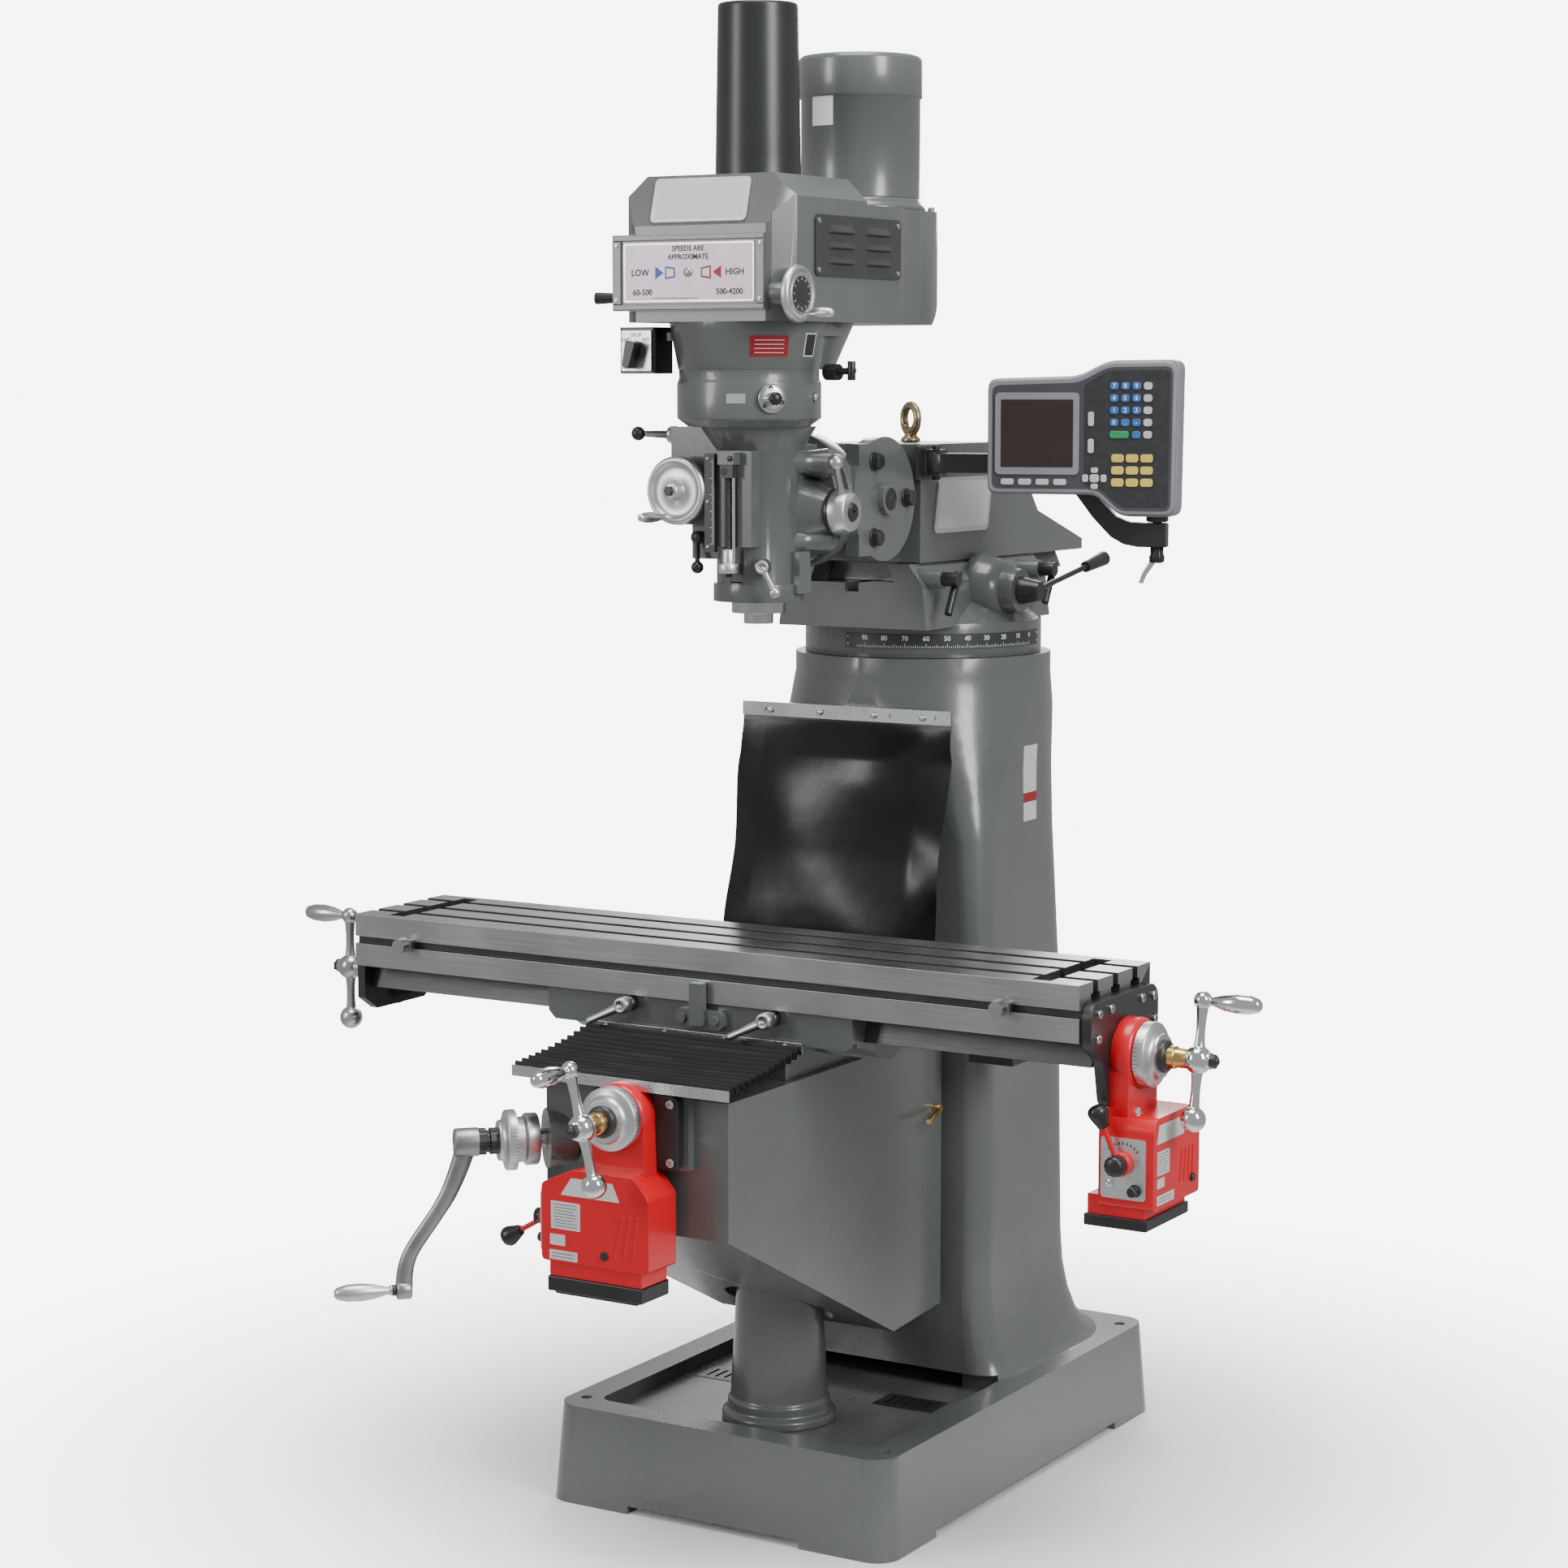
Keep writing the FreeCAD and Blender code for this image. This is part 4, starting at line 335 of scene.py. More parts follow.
SLOTS = {"enamel": ENAMEL, "red_enamel": RED, "steel": STEEL, "chrome": CHROME,
         "aluminium": ALUMINIUM, "black_steel": BLACK_STEEL, "black_plate": BLACK_PLATE,
         "black_plastic": PLASTIC, "rubber": RUBBER, "zinc": ZINC, "brass": BRASS,
         "display_case": CASE}


# ------------------------------------------------------------------ shape builder
def toward(direction):
    """The turn that carries +Z to a direction."""
    turn = Vector(UP).rotation_difference(Vector(direction).normalized())
    return turn.to_matrix().to_4x4()


def tube_faces(rings, sides):
    """The faces between rings of points, row by row, then a cap at each end."""
    faces = [(ring * sides + step, ring * sides + (step + 1) % sides,
              (ring + 1) * sides + (step + 1) % sides, (ring + 1) * sides + step)
             for ring in range(rings - 1) for step in range(sides)]
    last = (rings - 1) * sides
    return faces + [tuple(reversed(range(sides))), tuple(range(last, last + sides))]


def front_plane(x, y, z):
    """X to the right, Y up and Z towards the operator, from a spot in millimetres."""
    return Matrix(((1, 0, 0, x), (0, 0, -1, y), (0, 1, 0, z), (0, 0, 0, 1)))


def right_plane(x, y, z):
    """X towards the column, Y up and Z to the right, from a spot in millimetres."""
    return Matrix(((0, 0, 1, x), (1, 0, 0, y), (0, 1, 0, z), (0, 0, 0, 1)))


def knurl(depth, teeth, start=-1, end=math.inf):
    """A flute for lathe(): shallow ridges between two heights."""
    return lambda angle, height: 1 + (depth * math.cos(teeth * angle)
                                      if start < height < end else 0)


STROKE_SHARE = 0.022


class Shape:
    """Collects mesh parts in millimetres and writes them as one piece in metres."""

    def __init__(self):
        self.mesh = bmesh.new()
        self.materials = []

    def index(self, material):
        if material not in self.materials:
            self.materials.append(material)
        return self.materials.index(material)

    def add(self, points, faces, material, matrix=None, smooth=False):
        matrix = matrix or Matrix.Identity(4)
        spots = [self.mesh.verts.new(matrix @ Vector(point)) for point in points]
        slot = self.index(material)
        for face in faces:
            new = self.mesh.faces.new([spots[index] for index in face])
            new.material_index = slot
            new.smooth = smooth

    def block(self, x0, x1, y0, y1, z0, z1, material, matrix=None, taper=0):
        """A block, its top drawn in by taper."""
        points = [(x0, y0, z0), (x1, y0, z0), (x1, y1, z0), (x0, y1, z0),
                  (x0 + taper, y0 + taper, z1), (x1 - taper, y0 + taper, z1),
                  (x1 - taper, y1 - taper, z1), (x0 + taper, y1 - taper, z1)]
        faces = [(3, 2, 1, 0), (4, 5, 6, 7), (0, 1, 5, 4), (1, 2, 6, 5), (2, 3, 7, 6), (3, 0, 4, 7)]
        self.add(points, faces, material, matrix)

    def lathe(self, profile, at, along, material, sides=64, flute=None):
        """Turn (radius, height) pairs round an axis; flute(angle, height) scales the radius."""
        matrix = Matrix.Translation(Vector(at)) @ toward(along)
        points = []
        for radius, height in profile:
            for step in range(sides):
                angle = 2 * math.pi * step / sides
                scale = flute(angle, height) if flute else 1
                points.append((radius * scale * math.cos(angle),
                               radius * scale * math.sin(angle), height))
        self.add(points, tube_faces(len(profile), sides), material, matrix, smooth=True)

    def prism(self, outline, start, end, material, matrix=None):
        """A flat outline in the plane of X and Y, raised from start to end along Z."""
        count = len(outline)
        points = [(x, y, start) for x, y in outline] + [(x, y, end) for x, y in outline]
        faces = [tuple(reversed(range(count))), tuple(range(count, 2 * count))]
        faces += [(i, (i + 1) % count, count + (i + 1) % count, count + i) for i in range(count)]
        self.add(points, faces, material, matrix)

    def sweep(self, path, radii, material, sides=24, flat=1.0):
        """A round bar through points, with one radius at each; flat narrows it in height."""
        path = [Vector(point) for point in path]
        points = []
        side = None
        for index, spot in enumerate(path):
            ahead = path[min(index + 1, len(path) - 1)] - path[max(index - 1, 0)]
            ahead.normalize()
            if side is None:
                side = ahead.orthogonal().normalized()
            side = (side - ahead * side.dot(ahead)).normalized()
            up = ahead.cross(side)
            for step in range(sides):
                angle = 2 * math.pi * step / sides
                points.append(spot + radii[index] * (math.cos(angle) * side
                                                     + flat * math.sin(angle) * up))
        self.add(points, tube_faces(len(path), sides), material, smooth=True)

    def ball(self, centre, radius, material):
        rows = 18
        profile = [(max(0.4, radius * math.sin(math.pi * row / rows)),
                    -radius * math.cos(math.pi * row / rows)) for row in range(rows + 1)]
        self.lathe(profile, centre, UP, material, sides=36)

    def text(self, words, height, matrix, material, depth=0.25):
        """Raised figures, centred on the matrix's origin, in its plane of X and Y."""
        curve = bpy.data.curves.new("figures", "FONT")
        curve.body = words
        curve.size = height
        curve.align_x = "CENTER"
        curve.align_y = "CENTER"
        curve.extrude = depth / 2
        curve.resolution_u = 3
        curve.offset = height * STROKE_SHARE
        thing = bpy.data.objects.new("figures", curve)
        mesh = bpy.data.meshes.new_from_object(thing)
        mesh.transform(matrix @ Matrix.Translation((0, 0, depth / 2)))
        slot = self.index(material)
        before = len(self.mesh.faces)
        self.mesh.from_mesh(mesh)
        self.mesh.faces.ensure_lookup_table()
        for face in self.mesh.faces[before:]:
            face.material_index = slot
        bpy.data.objects.remove(thing)
        bpy.data.curves.remove(curve)
        bpy.data.meshes.remove(mesh)

    def write(self, name, body, bevel=0.0, replaces=(), segments=2, angle=35, weld=True):
        """Write the collected parts as one piece riding on a body."""
        self.mesh.transform(Matrix.Scale(MM, 4))
        if weld:
            bmesh.ops.recalc_face_normals(self.mesh, faces=self.mesh.faces)
        data = bpy.data.meshes.new(name)
        self.mesh.to_mesh(data)
        self.mesh.free()
        for material in self.materials:
            data.materials.append(material)
        piece = bpy.data.objects.new(name, data)
        bpy.context.scene.collection.objects.link(piece)
        if bevel:
            soften(piece, bevel, segments, angle)
        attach(piece, body)
        if replaces:
            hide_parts(*replaces)
        return piece


def soften(piece, width, segments=2, angle=35):
    """Round the edges of a piece by a width in millimetres."""
    round_edges = piece.modifiers.new("edges", "BEVEL")
    round_edges.width = width * MM
    round_edges.segments = segments
    round_edges.limit_method = "ANGLE"
    round_edges.angle_limit = math.radians(angle)
    round_edges.harden_normals = True
    round_edges.use_clamp_overlap = True
    smooth_but_sharp(piece, angle)


def smooth_but_sharp(piece, angle):
    """Shade a piece smooth, with edges steeper than an angle left sharp."""
    for face in piece.data.polygons:
        face.use_smooth = True
    piece.data.set_sharp_from_angle(angle=math.radians(angle))


def cast(name, shape, body, voxel, rounds, replaces=()):
    """Melt the parts of a shape into one casting with filleted corners."""
    piece = shape.write(name, body, replaces=replaces)
    melt = piece.modifiers.new("melt", "REMESH")
    melt.mode = "VOXEL"
    melt.voxel_size = voxel * MM
    melt.use_smooth_shade = True
    relax = piece.modifiers.new("relax", "SMOOTH")
    relax.factor = 0.5
    relax.iterations = rounds
    bake_modifiers(piece)
    thin = piece.modifiers.new("thin", "DECIMATE")
    thin.decimate_type = "DISSOLVE"
    thin.angle_limit = math.radians(0.6)
    bake_modifiers(piece)
    smooth_but_sharp(piece, 50)
    return piece


def bake_modifiers(piece):
    """Apply every modifier of a piece to its mesh."""
    bpy.context.view_layer.update()
    graph = bpy.context.evaluated_depsgraph_get()
    mesh = bpy.data.meshes.new_from_object(piece.evaluated_get(graph))
    old = piece.data
    piece.modifiers.clear()
    piece.data = mesh
    bpy.data.meshes.remove(old)


def hex_profile(radius, height):
    """A bolt head's section, for a six-sided lathe."""
    return [(radius, 0), (radius, height - 1), (radius - 1, height)]


def cap_screw(shape, at, along, radius, height, material):
    """A socket-head screw with its socket."""
    socket, floor = radius * 0.5, height * 0.4
    shape.lathe([(radius, 0), (radius, height - 0.8), (radius - 0.8, height), (socket, height),
                 (socket, floor), (0.3, floor)], at, along, material, sides=24)


# ------------------------------------------------------------------ soft parts
CABLE_RADIUS, CABLE_LENGTH = 3.2, 0.158
CABLE_ROUTE = [(0.268, -0.262, 0.790), (0.292, -0.256, 0.764), (0.330, -0.252, 0.751),
               (0.368, -0.254, 0.760), (0.404, -0.261, 0.786)]


def scale_cable():
    """The scale's lead, hanging in one loop between its two clips under the table."""
    curve = bpy.data.curves.new("scale_cable_lead", "CURVE")
    curve.dimensions = "3D"
    curve.bevel_depth = CABLE_RADIUS * MM
    curve.bevel_resolution = 5
    curve.resolution_u = 16
    curve.use_fill_caps = True
    spline = curve.splines.new("NURBS")
    spline.points.add(len(CABLE_ROUTE) - 1)
    for point, spot in zip(spline.points, CABLE_ROUTE):
        point.co = (*spot, 1)
    spline.order_u = 3
    spline.use_endpoint_u = True
    curve.materials.append(RUBBER)
    lead = bpy.data.objects.new("scale_cable_lead", curve)
    bpy.context.scene.collection.objects.link(lead)
    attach(lead, "table")
    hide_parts("scale_cable")


def along(points, share):
    """The point at a share of a polyline's length."""
    lengths = [(b - a).length for a, b in zip(points, points[1:])]
    left = share * sum(lengths)
    for start, end, length in zip(points, points[1:], lengths):
        if left <= length:
            return start.lerp(end, left / length)
        left -= length
    return points[-1]


def smooth_line(points, steps):
    """A polyline eased into one smooth run of evenly spaced points."""
    run = [along([Vector(p) for p in points], i / steps) for i in range(steps + 1)]
    for _ in range(10):
        eased = [(a + 2 * b + c) / 4 for a, b, c in zip(run, run[1:], run[2:])]
        run = [run[0]] + eased + [run[-1]]
    return run


def grid_piece(name, rows, material, thickness):
    """A sheet through rows of points in millimetres, given its thickness."""
    width = len(rows[0])
    points = [Vector(point) * MM for row in rows for point in row]
    faces = [(r * width + c, r * width + c + 1, (r + 1) * width + c + 1, (r + 1) * width + c)
             for r in range(len(rows) - 1) for c in range(width - 1)]
    data = bpy.data.meshes.new(name)
    data.from_pydata(points, [], faces)
    for face in data.polygons:
        face.use_smooth = True
    data.materials.append(material)
    piece = bpy.data.objects.new(name, data)
    bpy.context.scene.collection.objects.link(piece)
    wall = piece.modifiers.new("wall", "SOLIDIFY")
    wall.thickness = thickness * MM
    wall.offset = 0
    bake_modifiers(piece)
    smooth_but_sharp(piece, 60)
    return piece


def way_cover():
    """The rubber apron over the column's ways: one hung sheet with loose, rippled edges."""
    low, high = corners("way_cover_sheet")
    strip_low, strip_high = corners("way_cover_strip")
    drops, columns, sheet_thick = 96, 60, 1.6
    back = strip_high.y + 1
    hem = high.z
    knee_top = corners("knee_casting")[1].z
    drop = [(0, back, hem), (0, back, strip_low.z), (0, back - 23, hem - 64),
            (0, back - 36, hem - 104), (0, back - 41, hem - 144), (0, back - 49, hem - 226),
            (0, back - 67, hem - 310), (0, back - 72, hem - 350), (0, back - 72, hem - 410),
            (0, back - 70, knee_top + 1)]
    line = smooth_line(drop, drops)
    line = [Vector((0, back, hem - 21 * i / 5)) for i in range(5)] + line[5:]
    rows = []
    for index, spot in enumerate(line):
        fall = index / (len(line) - 1)
        free = min(1, max(0, (fall - 0.05) / 0.12)) * min(1, max(0, (1 - fall) / 0.2))
        row = []
        for step in range(columns + 1):
            across = step / columns
            edge = abs(across * 2 - 1)
            lean = 22 * edge ** 3 * free * (1 - fall * 0.7)
            ripple = 5.5 * free * math.sin(across * 4.4 + fall * 7.0 + 0.6)
            ripple += 3.0 * free * math.sin(across * 9 - fall * 11)
            curl = 14 * free * max(0, across - 0.86) / 0.14 * math.sin(fall * 11.5 - 0.9)
            curl -= 6 * free * max(0, 0.12 - across) / 0.12 * math.sin(fall * 9)
            x = low.x + (high.x - low.x) * across
            x -= 7 * free * max(0, across - 0.6) * math.sin(fall * 9.5)
            bulge = -9 * free * math.sin(math.pi * across)
            row.append((x, spot.y + lean + ripple * 0.6 + curl + bulge, spot.z))
        rows.append(row)
    apron = grid_piece("way_cover_apron", rows, RUBBER, sheet_thick)
    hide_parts("way_cover_sheet")
    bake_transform(apron)


def bellows():
    """The pleated rubber cover over the knee's front ways, between two steel strips."""
    low, high = corners("bellows_cover")
    back, front = high.y - 3, low.y + 3
    top, drop = high.z - 9, 28
    pleats, columns = 12, 40
    ridge, valley = 8.5, -7.5
    rows = []
    for fold in range(2 * pleats + 1):
        share = fold / (2 * pleats)
        y = back + (front - back) * share
        z = top - drop * share - 5 * math.sin(math.pi * share)
        peak = fold % 2
        height, next_height = (ridge, valley) if peak else (valley, ridge)
        for part in ((0.0,) if fold == 2 * pleats else (0.0, 0.12, 0.5, 0.88)):
            row = []
            for step in range(columns + 1):
                across = step / columns
                x = low.x + 3 + (high.x - low.x - 6) * across
                wander = 1.6 * noise.noise((across * 3.1, fold * 0.7, 2.0))
                lean = 3.2 * (height + (next_height - height) * part) / 8
                sag = -2.5 * math.sin(math.pi * across) * math.sin(math.pi * share)
                row.append((x + (1.5 if peak else 0) * (across - 0.5),
                            y + (front - back) / (2 * pleats) * part - lean + wander,
                            z + height + (next_height - height) * part + sag + wander * 0.6))
            rows.append(row)
    cover = grid_piece("bellows_pleats", rows, BELLOWS, 1.3)
    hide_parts("bellows_cover")
    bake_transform(cover)

    strips = Shape()
    width = (low.x + 1, high.x - 1)
    strips.block(width[0], width[1], back - 1.5, back + 0.5, top - 6, top + 10, STEEL)
    for share in (0.08, 0.36, 0.64, 0.92):
        x = width[0] + (width[1] - width[0]) * share
        cap_screw(strips, (x, back - 1.5, top + 3), FRONT, 3.6, 2.4, STEEL)
    strips.write("bellows_rear_strip", "saddle", bevel=0.4)
    lip = Shape()
    lip.block(width[0], width[1], front - 2.5, front - 0.8, top - drop - 12, top - drop + 4, STEEL)
    for share in (0.06, 0.35, 0.65, 0.94):
        x = width[0] + (width[1] - width[0]) * share
        cap_screw(lip, (x, front - 2.5, top - drop - 4), FRONT, 3, 0.4, STEEL)
    lip.write("bellows_front_strip", "knee", bevel=0.4)


# ------------------------------------------------------------------ display
def rounded(x0, x1, y0, y1, radius, steps=5):
    """A rectangle's outline with rounded corners."""
    points = []
    for cx, cy, start in ((x1 - radius, y1 - radius, 0), (x0 + radius, y1 - radius, 90),
                          (x0 + radius, y0 + radius, 180), (x1 - radius, y0 + radius, 270)):
        for step in range(steps + 1):
            angle = math.radians(start + 90 * step / steps)
            points.append((cx + radius * math.cos(angle), cy + radius * math.sin(angle)))
    return points


def round_outline(corner_points, radius, steps=4):
    """A polygon with each corner rounded."""
    points = []
    count = len(corner_points)
    for index in range(count):
        here = Vector(corner_points[index])
        back = Vector(corner_points[index - 1]) - here
        ahead = Vector(corner_points[(index + 1) % count]) - here
        cut = min(radius, back.length * 0.45, ahead.length * 0.45)
        start = here + back.normalized() * cut
        end = here + ahead.normalized() * cut
        for step in range(steps + 1):
            t = step / steps
            point = start * (1 - t) ** 2 + here * 2 * t * (1 - t) + end * t ** 2
            points.append((point.x, point.y))
    return points


def joint_spot(name):
    """Where a hinge's axis passes, in millimetres."""
    for joint in frame["joints"]:
        if joint["name"] == name:
            return Vector(joint["pos_m"]) / MM
    raise ValueError(name)


def display_plane():
    """The display's front as a plane: X to the right, Y up, Z out, from its swivel post."""
    hinge, post = joint_spot("dro_arm_swing"), joint_spot("dro_display_swivel")
    turn = math.atan2(post.y - hinge.y, post.x - hinge.x)
    upright = Matrix.Translation((post.x, post.y, 0)) @ Matrix.Rotation(turn, 4, "Z")
    return upright @ Matrix.Translation((0, -76, 0)) @ Matrix.Rotation(math.radians(90), 4, "X")


def display():
    """The read-out: stepped case, bezel, screen and its key pads."""
    face = display_plane()
    case = Shape()
    outline = [(-248, 1542), (-79, 1542), (-44, 1510), (42, 1510), (45, 1743), (-63, 1742),
               (-108, 1719), (-248, 1715)]
    case.prism(round_outline(outline, 16, 6), -54, -9, CASE, face)
    rim = [(x * 0.985 - 1.5, (y - 1630) * 0.975 + 1630) for x, y in outline]
    case.prism(round_outline(rim, 16, 6), -9, 0, CASE, face)
    case.block(-13, 13, 1511, 1524, -76, -40, CASE, face)
    case.write("display_case_body", "dro_display", bevel=3.2, segments=3, angle=40,
               replaces=["dro_display"])

    swivel = Shape()
    post = joint_spot("dro_display_swivel")
    swivel.lathe([(14, 1500), (17, 1502), (17, 1522), (15, 1525)], (post.x, post.y, 0), UP,
                 PLASTIC)
    swivel.write("display_swivel_foot", "dro_display")

    front = Shape()
    panel = [(-238, 1551), (-76, 1551), (-41, 1519), (35, 1519), (37, 1733), (-60, 1732),
             (-106, 1709), (-238, 1705)]
    front.prism(round_outline(panel, 12, 6), 0, 0.8, FASCIA, face)
    front.prism(round_outline([(-97, 1556), (-73, 1553), (-38, 1524), (31, 1524), (33, 1728),
                               (-58, 1727), (-97, 1706)], 8, 5), 0.8, 1.2, DARK_INK_AND_SHADE, face)
    front.prism(rounded(-233, -104, 1572, 1694, 7), 0.8, 3.0, CASE, face)
    front.prism(rounded(-224, -113, 1583, 1684, 2), 3.0, 3.5, SCREEN, face)
    front.write("display_front_panel", "dro_display", bevel=0.35)

    keys = Shape()

    def key(x, y, width, height, material, radius=2.5, base=1.2):
        outline = rounded(x - width / 2, x + width / 2, y - height / 2, y + height / 2, radius)
        keys.prism(outline, base, base + 2.2, material, face)

    for x in (-214, -187, -160, -133):
        key(x, 1561, 20, 9, KEY_PALE, 3, 0.8)
    for y in (1655, 1615):
        key(-86, y, 9, 21, KEY_PALE, 3)
    for dx, dy, width, height in ((0, 12, 11, 8), (0, -12, 11, 8), (-14, 0, 9, 11), (14, 0, 9, 11)):
        key(-80 + dx, 1567 + dy, width, height, KEY_PALE, 3)
    key(-80, 1567, 14, 12, KEY_PALE, 4)
    rows = (1704, 1686, 1668, 1650, 1632)
    figure_columns = (-51, -34, -17)
    for row in rows[:4]:
        for x in figure_columns:
            key(x, row, 13, 11, KEY_BLUE, 4)
    for row in rows:
        key(0, row, 13, 11, KEY_PALE, 4)
    key(-43, rows[4], 29, 11, KEY_GREEN, 4)
    key(-17, rows[4], 13, 11, KEY_BLUE, 4)
    for row in (1597, 1579, 1561):
        for x in (-45, -23, -1):
            key(x, row, 19, 12, KEY_YELLOW, 4)
    keys.write("display_keys", "dro_display", bevel=0.7)

    marks = Shape()
    for index, digit in enumerate("7894561230.-"):
        spot = Matrix.Translation((figure_columns[index % 3], rows[index // 3], 3.4))
        marks.text(digit, 9, face @ spot, PALE_INK, 0.15)
    marks.write("display_key_figures", "dro_display")


def arm():
    """The display's square gooseneck arm, its post, clamp knob and hook."""
    hinge, post = joint_spot("dro_arm_swing"), joint_spot("dro_display_swivel")
    turn = math.atan2(post.y - hinge.y, post.x - hinge.x)
    there = Matrix.Translation((hinge.x, hinge.y, 0)) @ Matrix.Rotation(turn, 4, "Z")
    reach = math.hypot(post.x - hinge.x, post.y - hinge.y)
    bar = Shape()
    top = [(-12, 1601.5), (150, 1601.5), (180, 1597), (204, 1587), (232, 1566), (262, 1530),
           (284, 1508), (306, 1500), (330, 1499), (362, 1499)]
    under = [(362, 1462), (318, 1462), (296, 1466), (276, 1477), (248, 1506), (222, 1540),
             (196, 1561), (172, 1569), (148, 1571.5), (-12, 1571.5)]
    upright = there @ Matrix.Rotation(math.radians(90), 4, "X")
    bar.prism(top + under, -11, 11, BLACK_STEEL, upright)
    bar.write("display_arm_bar", "dro_arm", bevel=2.6, segments=3, angle=40, replaces=["dro_arm"])
    fittings = Shape()
    fittings.lathe([(13, 1570.5), (14.5, 1572), (14.5, 1601), (13, 1602.5)],
                   there.translation, UP, BLACK_STEEL)
    fittings.lathe([(7, 1462), (7, 1514)], (post.x, post.y, 0), UP, STEEL)
    fittings.lathe([(7, 1438), (11, 1440), (12, 1447), (10, 1452), (10, 1462)],
                   (post.x, post.y, 0), UP, PLASTIC,
                   flute=knurl(0.05, 8))
    hook = [(reach - 4, 0, 1450), (reach - 6, 0, 1440), (reach - 12, 0, 1431),
            (reach - 19, 0, 1423), (reach - 23, 0, 1414), (reach - 24, 0, 1407)]
    hook = [there @ Vector(point) for point in smooth_line(hook, 14)]
    fittings.sweep(hook, [5.5 - 0.12 * i for i in range(15)], CHROME, flat=0.6)
    fittings.write("display_arm_fittings", "dro_arm")


# ------------------------------------------------------------------ ram and turret
def degree_scale():
    """The black swivel scale: a band with white divisions and figures."""
    low, high = corners("turret_degree_scale")
    centre = joint_spot("turret_swivel")
    radius = high.x - centre.x + 0.1
    middle = (low.z + high.z) / 2
    half = (high.z - low.z) / 2
    band = Shape()
    first, last = -101, 11
    steps = 90
    points, faces = [], []
    for step in range(steps + 1):
        angle = math.radians(first + (last - first) * step / steps)
        for reach, z in ((radius - 1.4, -half), (radius, -half + 0.5), (radius, half - 0.5),
                         (radius - 1.4, half)):
            points.append((centre.x + reach * math.cos(angle),
                           centre.y + reach * math.sin(angle), middle + z))
    for step in range(steps):
        base = step * 4
        for row in range(3):
            faces.append((base + row, base + row + 4, base + row + 5, base + row + 1))
        faces.append((base + 3, base + 7, base + 4, base))
    faces.append((0, 1, 2, 3))
    faces.append(tuple(reversed(range(steps * 4, steps * 4 + 4))))
    band.add(points, faces, BLACK_PLATE, smooth=False)
    for degree in range(0, 95):
        angle = math.radians(-degree)
        out = Vector((math.cos(angle), math.sin(angle), 0))
        side = Vector((-out.y, out.x, 0))
        tall = 7 if degree % 10 == 0 else 5.5 if degree % 5 == 0 else 3.6
        foot = middle - half + 1.6
        corner = [centre.to_2d().to_3d() + out * (radius + 0.15) + side * s * 0.38
                  + Vector((0, 0, z)) for s, z in ((-1, foot), (1, foot), (1, foot + tall),
                                                   (-1, foot + tall))]
        band.add(corner, [(0, 1, 2, 3)], PALE_INK)
    for degree in range(0, 91, 10):
        angle = math.radians(-degree)
        spot = Matrix.Translation((centre.x + (radius + 0.1) * math.cos(angle),
                                   centre.y + (radius + 0.1) * math.sin(angle),
                                   middle + half - 7.5))
        turn = Matrix.Rotation(angle + math.pi / 2, 4, "Z") @ Matrix.Rotation(math.pi / 2, 4, "X")
        band.text(str(degree), 10.5, spot @ turn, PALE_INK, 0.2)
    for degree in (-99.5, 9.5):
        angle = math.radians(degree)
        out = Vector((math.cos(angle), math.sin(angle), 0))
        for z in (-6, 6):
            at = centre.to_2d().to_3d() + out * (radius - 0.3) + Vector((0, 0, middle + z))
            band.lathe([(2, 0), (1.8, 1), (0.3, 1.4)], at, out, STEEL, sides=16)
    band.write("turret_scale_band", "turret", replaces=["turret_degree_scale"], weld=False)


def badge():
    """A blank cast plate with a silver rim on the ram's side."""
    low = corners("ram_badge")[0]
    plate = Shape()
    matrix = right_plane(low.x, 0, 0)
    outline = [(26, 1476), (206, 1476), (222, 1562), (44, 1562)]
    plate.prism(round_outline(outline, 12, 6), 0.1, 3.2, SILVER, matrix)
    inner = [(34, 1483), (201, 1483), (214, 1555), (49, 1555)]
    plate.prism(round_outline(inner, 8, 6), 3.2, 3.7, LABEL, matrix)
    plate.write("ram_badge_plate", "ram", bevel=0.8, replaces=["ram_badge"])


def eyebolt():
    """The forged lifting eye with its collar."""
    low, high = corners("lifting_eye")
    middle = (low + high) / 2
    foot = corners("ram_casting")[1].z
    across = Vector((1, -0.6, 0)).normalized()
    eye = Shape()
    eye.lathe([(15, 0.2), (16, 1.5), (15.5, 6), (11, 9), (8.5, 13), (8.5, 18)],
              (middle.x, middle.y, foot), UP, ZINC, sides=40)
    ring, radii = [], []
    steps = 48
    for step in range(steps + 1):
        angle = 2 * math.pi * step / steps - math.pi / 2
        ring.append(Vector((middle.x, middle.y, high.z - 28))
                    + across * 21 * math.cos(angle) + Vector((0, 0, 21 * math.sin(angle))))
        radii.append(6.6 + 1.6 * max(0, -math.sin(angle)) ** 3)
    eye.sweep(ring, radii, ZINC, sides=24)
    return cast("lifting_eye_forging", eye, "ram", 1.6, 4, replaces=["lifting_eye"])


def turret():
    """Clamp bolts on the swivel's rim and the cast swell round the pinion shaft."""
    low = corners("turret_casting")[0]
    centre = joint_spot("turret_swivel")
    pinion = joint_spot("ram_lever_ratchet")
    extra = Shape()
    extra.lathe([(58, 0), (57, 14), (50, 34), (41, 52)], (112, pinion.y, pinion.z), RIGHT,
                ENAMEL, sides=48)
    extra.write("turret_pinion_swell", "turret")
    bolts = Shape()
    for angle in (-125, -58, 58, 125):
        x = centre.x + 162 * math.cos(math.radians(angle))
        y = centre.y + 162 * math.sin(math.radians(angle))
        bolts.lathe([(14, 0), (14, 2), (12, 2.5)], (x, y, low.z + 52), UP, STEEL, sides=40)
        bolts.lathe(hex_profile(10, 11), (x, y, low.z + 54), UP, BLACK_STEEL, sides=6)
    bolts.write("turret_clamp_bolts", "turret", bevel=0.6)


